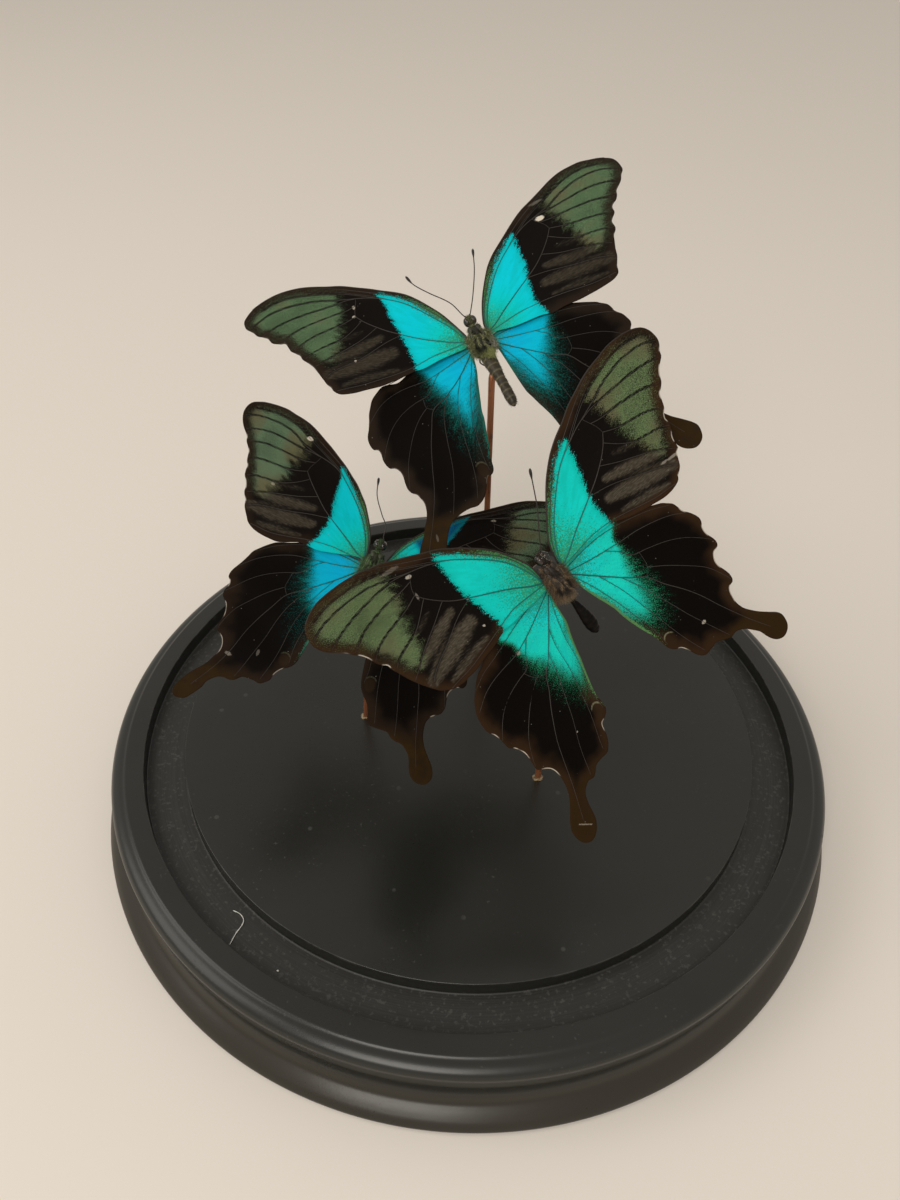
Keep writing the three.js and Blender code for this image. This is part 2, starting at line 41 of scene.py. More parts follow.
# wing outlines in each wing's own plane, in mm: x out from the hinge, y towards the head (the same as in the CAD)
OUTLINE = {
  'forewing_right_top': [
    (0.5,-0.9),(0.5,1.4),(1,3.2),(2.6,6.4),(4.1,8.9),(5.8,11.3),(8,14),(10.4,16.6),(13.2,18.9),(16.1,20.7),
    (18.8,22.2),(22.1,23.9),(25.4,25.4),(28.8,26.5),(32.1,27.6),(35.7,28.6),(38.9,29),(41.8,28.8),(44.5,28.4),
    (46.8,27.3),(48.7,26.2),(50.2,24.9),(51.2,23.7),(51.6,22.1),(51.5,20.2),(51.2,19),(50.1,17.9),(49,16.4),
    (47.6,15.4),(46.5,14.6),(45.8,13.3),(44.9,12.4),(43.7,11.9),(43,11.1),(42.5,9.4),(41.3,8.4),(40.5,7.5),(40.1,5.5),
    (39.7,4.7),(38.6,3.7),(37.7,2.1),(36.6,0),(35.9,-1.7),(35.1,-2.9),(34.3,-4.1),(33.7,-5.5),(33.2,-6.1),(31.7,-6.7),
    (29.3,-6.9),(26.8,-6.9),(24.2,-6.7),(22.4,-6.5),(18.7,-5.7),(15.5,-5.4),(12.9,-4.2),(6.4,-2.8),(2.3,-1.2),],
  'forewing_left_top': [
    (0.5,-0.9),(0.5,1.4),(1.6,3.7),(3,6.3),(5,9.7),(7.2,12.5),(9.5,15),(12.1,17.4),(14.8,19.2),(17.6,20.7),
    (20.6,22.2),(24.2,23.6),(27.8,25.1),(30.8,26),(34,27),(37.2,27.6),(40.4,27.6),(43.5,27.3),(46.5,26.6),(49.2,25.5),
    (51.2,24.2),(52.7,22.4),(53.1,21.3),(52.8,19.3),(51.9,18.2),(51,17.3),(50.2,16.1),(48.7,15.2),(47.8,14.7),
    (47,13.3),(46,12.7),(44.8,12.3),(43.8,12.2),(43.2,10.9),(42.7,9.6),(41.8,8.7),(40.7,7.6),(40.2,6.1),(39.1,4.8),
    (38.1,3.4),(37.1,1.4),(36.4,-0.3),(35.5,-2.4),(34.7,-3.5),(34.2,-4.8),(32.9,-6),(31.2,-6.5),(29.1,-6.8),
    (26.7,-6.8),(24.2,-6.8),(22.5,-6.7),(19.4,-6),(16.9,-5.3),(14.5,-4.6),(11.8,-4.4),(7.9,-3.3),(4.1,-2.5),
    (1.2,-1.8),],
  'forewing_right_right': [
    (0.5,-0.9),(0.5,1.4),(2.2,6.1),(5.2,9.9),(8,13.2),(10.6,15.8),(13.4,18.1),(16.1,20),(19.1,21.6),(22.4,22.9),
    (25.9,24.5),(29,25.5),(32.1,26.5),(35,27.1),(38.1,27.4),(41,27.7),(43.9,27.4),(46.2,26.9),(48.3,26),(49.8,24.8),
    (50.6,23.3),(50.8,21.8),(50.7,20.6),(50.2,19.5),(49.4,18.6),(48.8,17.5),(47.8,16.7),(46.6,15.8),(45.7,14.7),
    (44.9,13.4),(43.9,12.4),(43,11.8),(42.4,10.3),(41.8,8.9),(41,7.9),(40.4,6.7),(40.5,5.7),(39.9,4.1),(38.9,2.6),
    (38.4,1),(38.1,0),(37.3,-0.5),(36.5,-1.8),(35.7,-3.1),(34.8,-4),(34,-4.5),(33.3,-5.3),(31.7,-5.9),(30,-6.1),
    (28,-5.9),(25.8,-5.3),(23.6,-4.7),(19.5,-3.3),(16,-1.6),(12.2,-0.8),(9.1,-0.6),(6,-0.6),(3,-0.7),],
  'forewing_left_right': [
    (0.5,-0.9),(0.5,1.4),(1.2,4.9),(2.5,7.4),(4,9.5),(5.5,11.5),(7.2,13.2),(9,14.8),(10.9,16.2),(12.8,17.6),
    (14.8,18.8),(16.8,20),(18.9,20.9),(21.1,21.7),(23.3,22.6),(25.4,23.4),(27.5,24.2),(29.7,25),(32,25.5),(34.2,26.1),
    (36.5,26.4),(38.8,26.6),(41.1,26.6),(43.2,26.5),(45.1,26.3),(47,25.7),(48.6,24.9),(49.9,23.9),(50.6,22.6),
    (50.9,21.2),(50.9,19.7),(50.4,18.4),(49.5,17.1),(48.4,16.2),(47.3,15.3),(46.2,14.3),(45.2,13.2),(44.1,12.2),
    (43.3,11.1),(42.9,10.3),(42.4,9.1),(41.6,8),(40.6,7.1),(40.3,5.8),(39.7,4.6),(39.1,3.3),(38.6,2.2),(37.9,0.9),
    (37.1,-0.4),(36.2,-1.7),(35.3,-2.9),(34.3,-4.1),(32.9,-5),(31.7,-5.6),(30.2,-5.9),(28.5,-6),(27.5,-5.8),
    (25.7,-5.7),(23.6,-5.2),(21.3,-4.5),(18.5,-3.9),(16.5,-3.2),(14.6,-2.7),(12.2,-2.7),(8.7,-2.4),(4.8,-2.2),
    (1.1,-1.6),],
  'forewing_right_left': [
    (0.5,-0.9),(0.5,1.4),(1.8,4.9),(2.9,7),(4.5,9.2),(6.3,11.3),(8.2,13.4),(10.5,15.3),(12.8,17.1),(15.3,18.5),
    (18.1,20.1),(20.8,21.4),(23.9,22.9),(26.9,24.1),(29.8,25.2),(32.5,26),(35.1,26.4),(37.5,26.6),(39.9,26.9),
    (42.4,26.7),(44.8,26.2),(46.7,25.6),(48.1,24.8),(49.1,24),(49.7,22.8),(49.8,21.4),(49.5,19.9),(48.7,18.3),
    (47.5,16.8),(46.1,15.6),(45,14.6),(44.2,13.3),(43.2,12.3),(42.2,11.2),(41.6,9.9),(41,8.6),(40.2,7.5),(39.8,6.1),
    (39.2,4.8),(38.2,3.7),(37.3,2.3),(36.8,0.9),(36,-0.2),(35.3,-0.9),(34.5,-2.5),(33.4,-3.8),(32.4,-4.8),(31.4,-5.8),
    (30,-6.5),(28.3,-6.9),(26.5,-7),(24.3,-6.9),(22.3,-6.7),(20.6,-6),(19,-5.1),(17.1,-4.1),(14.8,-3.8),(12,-3.6),
    (9.1,-2.6),(5.5,-1.2),(1.8,0),],
  'forewing_left_left': [
    (0.5,-0.9),(0.5,1.4),(1.8,4.9),(2.9,7),(4.5,9.2),(6.3,11.3),(8.2,13.4),(10.5,15.3),(12.8,17.1),(15.3,18.5),
    (18.1,20.1),(20.8,21.4),(23.9,22.9),(26.9,24.1),(29.8,25.2),(32.5,26),(35.1,26.4),(37.5,26.6),(39.9,26.9),
    (42.4,26.7),(44.8,26.2),(46.7,25.6),(48.1,24.8),(49.1,24),(49.7,22.8),(49.8,21.4),(49.5,19.9),(48.7,18.3),
    (47.5,16.8),(46.1,15.6),(45,14.6),(44.2,13.3),(43.2,12.3),(42.2,11.2),(41.6,9.9),(41,8.6),(40.2,7.5),(39.8,6.1),
    (39.2,4.8),(38.2,3.7),(37.3,2.3),(36.8,0.9),(36,-0.2),(35.3,-0.9),(34.5,-2.5),(33.4,-3.8),(32.4,-4.8),(31.4,-5.8),
    (30,-6.5),(28.3,-6.9),(26.5,-7),(24.3,-6.9),(22.3,-6.7),(20.6,-6),(19,-5.1),(17.1,-4.1),(14.8,-3.8),(12,-3.6),
    (9.1,-2.6),(5.5,-1.2),(1.8,0),],
  'hindwing_right_top': [
    (0.5,-1),(4,-0.4),(8,-0.2),(12,-0.6),(16,-1.7),(19.5,-3.4),(25.5,-7.1),(26.4,-8.2),(27.4,-9.5),(27.8,-10.9),
    (27.8,-12),(28.1,-12.9),(28.8,-14),(29.2,-15.3),(29.4,-16.6),(29.1,-17.6),(28.5,-18.3),(28.1,-19.3),(28,-20.6),
    (28.3,-22.1),(28.4,-23.4),(28,-24.4),(27.3,-24.7),(26.3,-24.9),(25.7,-25.6),(25.1,-26.7),(24.8,-28.2),(25.1,-30),
    (25.3,-31.6),(24.9,-32.9),(24.4,-33.4),(23.4,-33.6),(22.5,-34.4),(21.9,-35.9),(21.7,-37.7),(21.9,-39.8),
    (22.7,-41.5),(23.8,-43.4),(25.5,-45.4),(26.8,-47.1),(27.4,-48.5),(27.2,-50.2),(26.6,-51.6),(25.4,-52.6),
    (24,-52.9),(22.5,-52.1),(21.6,-50.9),(21.1,-49.2),(20.7,-47.2),(19.8,-45.6),(18.9,-44.1),(17.9,-43.3),
    (16.7,-42.7),(15.9,-42.6),(15.1,-42.7),(14.1,-42.2),(12.6,-41.3),(11.5,-40.6),(10.2,-40.7),(9,-40.7),(7.8,-40.7),
    (6.8,-39.9),(6,-38.6),(5.8,-37.3),(5.4,-36.2),(4.7,-34.9),(3.7,-34.1),(2.9,-33.1),(2.5,-31.7),(2.4,-30.1),
    (2.2,-28),(1.8,-26),(1.3,-23.7),(0.9,-21.2),(0.5,-18.7),(0.5,-6.5),(0.5,-5.8),],
  'hindwing_left_top': [
    (0.5,-1),(4,-0.4),(8,-0.2),(12,-0.6),(16,-1.7),(19.5,-3.4),(23.2,-2.9),(25.3,-4.1),(26.8,-5.5),(27.7,-7.2),
    (28.4,-8.9),(28.9,-11.1),(29.5,-12.9),(30.2,-14.6),(30.4,-15.9),(30.2,-17.5),(29.7,-18.5),(28.8,-18.9),
    (28.4,-20.2),(28.4,-21.9),(28,-23.5),(27.3,-24.6),(26.4,-24.9),(25.5,-26),(25,-27.8),(25,-29.7),(24.8,-31.7),
    (24.2,-32.9),(23.2,-33.7),(22.6,-35),(22.2,-36.2),(22.2,-37.9),(22.5,-39.3),(23,-40.7),(23.7,-42),(24.4,-43.8),
    (25.4,-45.5),(26.3,-47),(26.7,-48.3),(26.5,-50.2),(25.9,-51.9),(24.7,-53.1),(23.4,-53.6),(22,-53.1),(21.1,-52),
    (20.6,-50.4),(20.2,-48.3),(19.5,-46.6),(18.7,-44.8),(17.5,-43.2),(16.1,-42.4),(14.5,-41.8),(12.7,-41.5),
    (11,-41.6),(10,-41.2),(9.1,-40.5),(8.2,-39.3),(7.4,-37.4),(6.8,-35.8),(6.5,-35.4),(5.8,-35.4),(5.1,-34.9),
    (4.7,-33.9),(4.6,-32.4),(4.5,-30.8),(4.1,-29.3),(3.8,-27.5),(3.6,-25.6),(3.3,-23.5),(2.9,-20.8),(2.8,-18.6),
    (2.3,-15.9),(1.8,-13.2),(1.3,-10.5),(0.8,-8.3),(0.5,-5.8),],
  'hindwing_right_right': [
    (0.5,-1),(4,-0.4),(8,-0.2),(12,-0.6),(16,-1.7),(19.5,-3.4),(26.7,-7.9),(27.6,-8.9),(28.6,-10.2),(28.9,-11.6),
    (29,-12.7),(29.3,-13.5),(29.9,-14.6),(30.4,-15.9),(30.6,-17.1),(30.3,-18.1),(29.7,-18.8),(29.3,-19.8),
    (29.2,-21.1),(29.5,-22.6),(29.6,-23.9),(29.2,-24.9),(28.5,-25.2),(27.6,-25.3),(26.9,-26),(26.3,-27.1),
    (26.1,-28.6),(26.4,-30.3),(26.5,-32),(26.1,-33.3),(25.7,-33.7),(24.6,-33.9),(23.8,-34.7),(23.2,-36.2),
    (22.9,-37.9),(23.2,-40),(24,-41.7),(25.1,-43.5),(26.7,-45.5),(28.1,-47.2),(28.6,-48.5),(28.4,-50.2),(27.8,-51.6),
    (26.6,-52.6),(25.2,-52.9),(23.8,-52.2),(22.9,-50.9),(22.4,-49.3),(22,-47.3),(21.1,-45.7),(20.2,-44.3),
    (19.2,-43.4),(18.1,-42.8),(17.2,-42.8),(16.5,-42.9),(15.5,-42.4),(14.1,-41.5),(13,-40.8),(11.7,-40.9),
    (10.5,-40.9),(9.3,-40.9),(8.3,-40.1),(7.6,-38.8),(7.3,-37.6),(7,-36.5),(6.3,-35.1),(5.3,-34.4),(4.5,-33.4),
    (4.1,-32.1),(4,-30.4),(3.8,-28.4),(3.4,-26.5),(2.9,-24.1),(2.5,-21.7),(2.2,-19.2),(2.1,-16.5),(1.7,-14.1),
    (1.2,-11.8),(0.8,-9.5),(0.5,-7.3),(0.5,-5.8),],
  'hindwing_left_right': [
    (0.5,-1),(4,-0.4),(8,-0.2),(12,-0.6),(16,-1.7),(19.5,-3.4),(23.1,-6.5),(24.6,-7.2),(26.3,-8.6),(27.7,-10.2),
    (28.8,-11.6),(29.6,-13.2),(30.1,-14.6),(30.3,-16.3),(30.3,-17.9),(30,-19.2),(29.3,-20.2),(28.8,-21.7),
    (28.5,-23.3),(28.1,-24.8),(27,-25.7),(26.2,-27),(25.7,-28),(25.5,-29.4),(25.5,-31.2),(25.5,-32.7),(25,-33.3),
    (23.8,-33.9),(22.7,-34.8),(22.1,-36.1),(21.9,-37.9),(22,-39.9),(22.4,-41.9),(23.2,-43.7),(24.2,-45.3),
    (25.3,-46.7),(26.1,-48),(26.7,-49.4),(26.7,-51.1),(26.1,-52.9),(25.1,-54),(23.8,-54.5),(22.5,-54.1),(21.3,-53),
    (20.3,-51.4),(19.9,-49.8),(19.7,-48),(19.4,-46.3),(18.9,-44.8),(17.9,-43.7),(16.7,-43),(15.2,-43.2),(14.1,-42.4),
    (13.1,-41.4),(11.5,-41),(10.1,-40.9),(9.1,-40.7),(8,-39.6),(7.1,-37.9),(6.8,-36.3),(6.4,-34.6),(5.4,-34),
    (4.3,-33.2),(3.7,-32),(3.7,-30.5),(3.8,-29.1),(3.7,-26.8),(3.3,-24.7),(2.9,-22.3),(2.4,-19.8),(1.9,-16.9),
    (1.2,-13.7),(0.5,-10.7),(0.5,-8.1),(0.5,-5.8),],
  'hindwing_right_left': [
    (0.5,-1),(4,-0.4),(8,-0.2),(12,-0.6),(16,-1.7),(19.5,-3.4),(27.2,-12),(28.1,-13),(28.9,-14.2),(29.2,-15.5),
    (29.2,-16.6),(29.4,-17.4),(30,-18.4),(30.4,-19.6),(30.5,-20.9),(30.2,-21.8),(29.6,-22.5),(29.1,-23.4),(29,-24.6),
    (29.2,-26),(29.3,-27.2),(28.8,-28.2),(28.1,-28.4),(27.2,-28.6),(26.6,-29.2),(26,-30.8),(26.1,-32.7),(26.3,-34.5),
    (25.8,-36.1),(24.7,-36.8),(23.7,-37.7),(23.2,-39.2),(23.3,-41.1),(23.7,-43),(24.5,-44.9),(25.6,-46.6),(27,-48.5),
    (28,-50.2),(28.4,-52.1),(27.8,-53.7),(26.5,-54.3),(25.1,-54.1),(23.9,-53.1),(23,-51.4),(22.5,-49.8),(21.8,-48.2),
    (20.7,-47),(19.6,-46.2),(18.1,-46),(16.8,-45.3),(15.8,-44.3),(14.3,-44),(12.9,-43.9),(11.3,-43.5),(10.4,-42.2),
    (9.8,-40.2),(8.9,-38.3),(7.8,-37),(6.5,-35.1),(5.7,-32.6),(5.2,-29.9),(4.8,-27.3),(4.5,-25),(4.2,-22.6),
    (4.1,-20.1),(3.7,-17.7),(3.2,-15.5),(2.8,-13.3),(2.3,-11.1),(1.9,-9),(0.5,-5.8),],
  'hindwing_left_left': [
    (0.5,-1),(4,-0.4),(8,-0.2),(12,-0.6),(16,-1.7),(19.5,-3.4),(22.7,-4.7),(23.8,-5.5),(25.1,-6.8),(26.3,-8.3),
    (27.2,-9.6),(27.6,-11.1),(28,-12.6),(28.6,-14.4),(29.2,-15.8),(29.5,-17.1),(29.3,-18.2),(28.6,-18.8),(28.2,-19.8),
    (28.3,-20.7),(28.4,-22),(28.1,-23.1),(27.3,-23.9),(26.4,-24.7),(25.7,-26),(25.3,-27.5),(25.4,-29.1),(25.4,-30.4),
    (25.1,-31.4),(24.1,-32.1),(23.1,-32.8),(22.3,-34.1),(22,-35.5),(22.2,-36.8),(22.5,-37.9),(23,-39.5),(23.6,-40.8),
    (24.5,-42.1),(25.5,-43.6),(26.4,-45.4),(27,-47),(27.2,-48.5),(26.9,-49.7),(26,-50.4),(24.7,-50.3),(23.5,-49.7),
    (22.7,-48.5),(21.9,-47.1),(21.2,-45.7),(20.9,-44.3),(20.1,-43),(18.8,-41.8),(17.5,-41.4),(16.4,-41.4),
    (15.1,-40.9),(14.5,-40.2),(13.8,-39.4),(12.3,-39.1),(10.8,-39),(9.4,-39.1),(8.2,-38.2),(7.4,-37.2),(7.2,-35.7),
    (6.7,-34.5),(5.8,-33.3),(4.7,-32.4),(3.9,-31.1),(3.6,-29.5),(3.5,-27.9),(3.4,-26.3),(3.4,-25.1),(3,-23.1),
    (2.7,-21.1),(2.5,-19),(2.5,-16.8),(2.2,-14.7),(1.8,-12.8),(1.4,-11),(1,-9.1),(0.8,-7.3),(0.5,-5.8),],
}
# marks on each wing (own plane) and where they lie on the shared wing that the pattern is drawn on
MARKS = {
  'forewing_left_top': ([
    (52.2,17.9),(49.2,15.4),(45.5,12.5),(42.2,9),(40,5.8),(37.9,2.9),(36,-1.2),(33.9,-5),(18.6,19.4),(16.1,6.8),
    (14.3,-4.4),(29.5,21),(4,8),(10,15.5),(17,20.4),(25,23.9),(33,26.7),(41,27.5),(47,26.4),(0.5,-0.5),],
  [
    (51.4,19.7),(49,16.7),(45.5,13.3),(42.4,9.1),(40.2,5.1),(38,1),(35.9,-2.6),(33.1,-5.5),(19.1,19.3),(16.1,7),
    (15,-2.6),(31.4,21.5),(4,8.6),(10,15.5),(17,20.3),(25,24),(33,26.6),(41,27.5),(47,26.3),(0.5,-0.5),]),
  'hindwing_left_top': ([
    (27.2,-6.2),(30.3,-16.5),(27.9,-23.8),(24.4,-32.7),(16.6,-42.6),(9.1,-40.7),(5.3,-35.1),(13.5,-10.1),(13.3,-14),
    (0.5,-1),(0.5,-6),],
  [
    (28.5,-10.4),(30.6,-17.5),(28.8,-24),(25.7,-32.9),(16,-42.9),(8.8,-40.4),(4.5,-32.9),(13.9,-11.4),(12.9,-16.5),
    (0.5,-1),(0.5,-6),]),
  'forewing_right_top': ([
    (51.3,19),(49.1,16.4),(45.8,13.2),(42.3,9.1),(39.9,5.1),(37.4,1.6),(35.9,-2.1),(33.6,-5.6),(19.3,20.3),(16.6,7.3),
    (14.4,-1.8),(31.7,22.2),(4,8.7),(10,16.2),(17,21.2),(25,25.2),(33,27.9),(41,28.9),(47,27.2),(0.5,-0.5),],
  [
    (51.4,19.7),(49,16.7),(45.5,13.3),(42.4,9.1),(40.2,5.1),(38,1),(35.9,-2.6),(33.1,-5.5),(19.1,19.3),(16.1,7),
    (15,-2.6),(31.4,21.5),(4,8.6),(10,15.5),(17,20.3),(25,24),(33,26.6),(41,27.5),(47,26.3),(0.5,-0.5),]),
  'hindwing_right_top': ([
    (27.2,-52.1),(0.5,-1),(0.5,-6),],
  [
    (26.8,-52.2),(0.5,-1),(0.5,-6),]),
  'forewing_left_right': ([
    (50.9,19.7),(48.7,16.5),(45.2,13.2),(42.3,9.4),(39.9,5),(37.7,1),(35.3,-2.9),(32.4,-5.4),(18.8,18.8),(18,8.2),
    (15,-2.4),(31.2,21.5),(4,9.5),(10,15.5),(17,20.1),(25,23.2),(33,25.8),(41,26.6),(47,25.7),(0.5,-0.5),],
  [
    (51.4,19.7),(49,16.7),(45.5,13.3),(42.4,9.1),(40.2,5.1),(38,1),(35.9,-2.6),(33.1,-5.5),(19.1,19.3),(16.1,7),
    (15,-2.6),(31.4,21.5),(4,8.6),(10,15.5),(17,20.3),(25,24),(33,26.6),(41,27.5),(47,26.3),(0.5,-0.5),]),
  'hindwing_left_right': ([
    (28,-10.4),(30.4,-17.6),(28.5,-24),(25.4,-32.9),(25.3,-53.7),(15.3,-43.2),(8.5,-40.1),(4,-32.7),(14.4,-13.5),
    (11.5,-17),(0.5,-1),(0.5,-6),],
  [
    (28.5,-10.4),(30.6,-17.5),(28.8,-24),(25.7,-32.9),(26.8,-52.2),(16,-42.9),(8.8,-40.4),(4.5,-32.9),(13.9,-11.4),
    (12.9,-16.5),(0.5,-1),(0.5,-6),]),
  'forewing_right_right': ([
    (50.7,20.1),(48.7,17.4),(44.9,13.4),(41.5,8.5),(40.1,5),(38.1,0),(35.7,-3.1),(32.9,-5.6),(19.5,19.1),(16.3,7.1),
    (15.8,-1.6),(31.3,21.4),(4,8.4),(10,15.2),(17,20.5),(25,24.1),(33,26.7),(41,27.7),(47,26.6),(0.5,-0.5),],
  [
    (51.4,19.7),(49,16.7),(45.5,13.3),(42.4,9.1),(40.2,5.1),(38,1),(35.9,-2.6),(33.1,-5.5),(19.1,19.3),(16.1,7),
    (15,-2.6),(31.4,21.5),(4,8.6),(10,15.5),(17,20.3),(25,24),(33,26.6),(41,27.5),(47,26.3),(0.5,-0.5),]),
  'hindwing_right_right': ([
    (28.8,-10.6),(30.5,-17.3),(29.3,-24.6),(25.9,-33.4),(27.2,-52),(16.2,-42.9),(8.5,-40.4),(4.3,-32.7),(13.7,-11.3),
    (12.3,-17.2),(0.5,-1),(0.5,-6),],
  [
    (28.5,-10.4),(30.6,-17.5),(28.8,-24),(25.7,-32.9),(26.8,-52.2),(16,-42.9),(8.8,-40.4),(4.5,-32.9),(13.9,-11.4),
    (12.9,-16.5),(0.5,-1),(0.5,-6),]),
  'forewing_left_left': ([
    (49.2,19.1),(46.7,16.2),(44.3,13.4),(41.3,9),(39.3,4.9),(36.7,0.9),(34.5,-2.5),(31.1,-5.9),(18.2,18.6),(14.3,6),
    (15,-3),(30.9,20.1),(4,8.5),(10,14.9),(17,19.5),(25,23.3),(33,26.1),(41,26.8),(47,25.4),(0.5,-0.5),],
  [
    (51.4,19.7),(49,16.7),(45.5,13.3),(42.4,9.1),(40.2,5.1),(38,1),(35.9,-2.6),(33.1,-5.5),(19.1,19.3),(16.1,7),
    (15,-2.6),(31.4,21.5),(4,8.6),(10,15.5),(17,20.3),(25,24),(33,26.6),(41,27.5),(47,26.3),(0.5,-0.5),]),
  'hindwing_left_left': ([
    (27.4,-10.1),(29.3,-18.2),(28.2,-23),(25.1,-31.3),(26.8,-49.8),(15.3,-41.1),(8.5,-38.7),(4.8,-32.4),(13.8,-10),
    (13.9,-16.3),(0.5,-1),(0.5,-6),],
  [
    (28.5,-10.4),(30.6,-17.5),(28.8,-24),(25.7,-32.9),(26.8,-52.2),(16,-42.9),(8.8,-40.4),(4.5,-32.9),(13.9,-11.4),
    (12.9,-16.5),(0.5,-1),(0.5,-6),]),
  'forewing_right_left': ([
    (49.2,19.1),(46.7,16.2),(44.3,13.4),(41.3,9),(39.3,4.9),(36.7,0.9),(34.5,-2.5),(31.1,-5.9),(18.2,18.6),(14.3,6),
    (15,-3),(30.9,20.1),(4,8.5),(10,14.9),(17,19.5),(25,23.3),(33,26.1),(41,26.8),(47,25.4),(0.5,-0.5),],
  [
    (51.4,19.7),(49,16.7),(45.5,13.3),(42.4,9.1),(40.2,5.1),(38,1),(35.9,-2.6),(33.1,-5.5),(19.1,19.3),(16.1,7),
    (15,-2.6),(31.4,21.5),(4,8.6),(10,15.5),(17,20.3),(25,24),(33,26.6),(41,27.5),(47,26.3),(0.5,-0.5),]),
  'hindwing_right_left': ([
    (26.2,-35.2),(26.6,-54.3),(17.5,-45.9),(11.3,-43.5),(6.4,-34.7),(0.5,-1),(0.5,-6),],
  [
    (25.7,-32.9),(26.8,-52.2),(16,-42.9),(8.8,-40.4),(4.5,-32.9),(0.5,-1),(0.5,-6),]),
}
# butterflies: place, size against the others, body axes (right, head, back), wing angles in degrees
FLY = {
  'top': {'at': (-2.01, 29.01, 125.10), 'size': 1.000,
    'axes': ((0.8893, 0.2984, 0.3467), (-0.4180, 0.8378, 0.3512), (-0.1857, -0.4572, 0.8697)),
    'left': (4.35, 10.33, 1.54, -1.33, 5.99),   # raise, sweep, twist, hindwing raise, hindwing sweep
    'right': (2.79, 7.79, -0.48, 2.07, 4.48),   # raise, sweep, twist, hindwing raise, hindwing sweep
  },
  'right': {'at': (16.53, -25.95, 98.21), 'size': 0.965,
    'axes': ((0.6851, 0.6254, 0.3735), (-0.6333, 0.2581, 0.7295), (0.3598, -0.7364, 0.5729)),
    'left': (7.75, 6.58, -2.76, 5.59, 6.98),   # raise, sweep, twist, hindwing raise, hindwing sweep
    'right': (7.76, 5.21, -3.28, 8.02, 8.15),   # raise, sweep, twist, hindwing raise, hindwing sweep
  },
  'left': {'at': (-25.45, 1.10, 76.53), 'size': 1.000,
    'axes': ((0.9568, -0.2593, -0.1313), (0.2905, 0.8418, 0.4548), (-0.0074, -0.4734, 0.8808)),
    'left': (3.86, 9.18, -0.66, 3.29, 4.79),   # raise, sweep, twist, hindwing raise, hindwing sweep
    'right': (13.54, 11.91, -17.40, 3.42, 4.34),   # raise, sweep, twist, hindwing raise, hindwing sweep
  },
}

# ---- the pattern, drawn once on a shared forewing and a shared hindwing, in mm ----
FW_BAND = [(0.3, -1.2), (0.7, 1.0), (1.9, 4.2), (3.9, 7.3), (6.5, 10.4), (10, 13.7), (14, 16.9), (17, 18.8), (19.7, 20.1),
           (19.0, 17.4), (18.4, 15), (17.7, 12.3), (16.9, 10), (16.1, 8), (15.4, 5.6), (14.9, 3), (14.6, 0.6), (14.6, -2.5), (14.8, -7), (0.3, -7)]
FW_GREEN = [(27.8, 24.2), (30.2, 23.2), (30.8, 21.2), (30.7, 19), (31.1, 17), (31.5, 15), (31.8, 12.5), (32.0, 10), (32.3, 7.5),
            (32.6, 5.5), (34.2, 2.6), (37.0, 3.4), (39.0, 5.8), (40.8, 8.3), (42.5, 11.1), (44.7, 13.8), (47.4, 16.3), (49.7, 18.6),
            (51.0, 20.9), (50.2, 23.5), (47.2, 25.6), (43, 26.9), (39, 27.3), (35, 26.8), (31.3, 25.7)]
HW_BAND = [(-2, 3), (16.5, 3), (16.4, -1.6), (15.0, -3.4), (13.4, -5.0), (13.0, -7.6), (12.4, -10.2), (11.6, -12.8), (11.0, -15.6), (10.4, -20), (9.6, -24), (8.4, -27.5), (6.4, -29.2), (4.4, -28.6),
           (3.6, -24), (2.6, -18), (1.4, -11), (-2, -6)]
HW_BAND_SLIM = [(-2, 3), (17.4, 3), (17.0, -2.4), (14.6, -4.3), (13.2, -6.6), (12.3, -8.9), (10.8, -11.4), (9.0, -14.5), (8.2, -18), (7.6, -22), (6.8, -25.5), (5.6, -27.5), (4.2, -27),
                (3.4, -23), (2.6, -18), (1.4, -11), (-2, -6)]
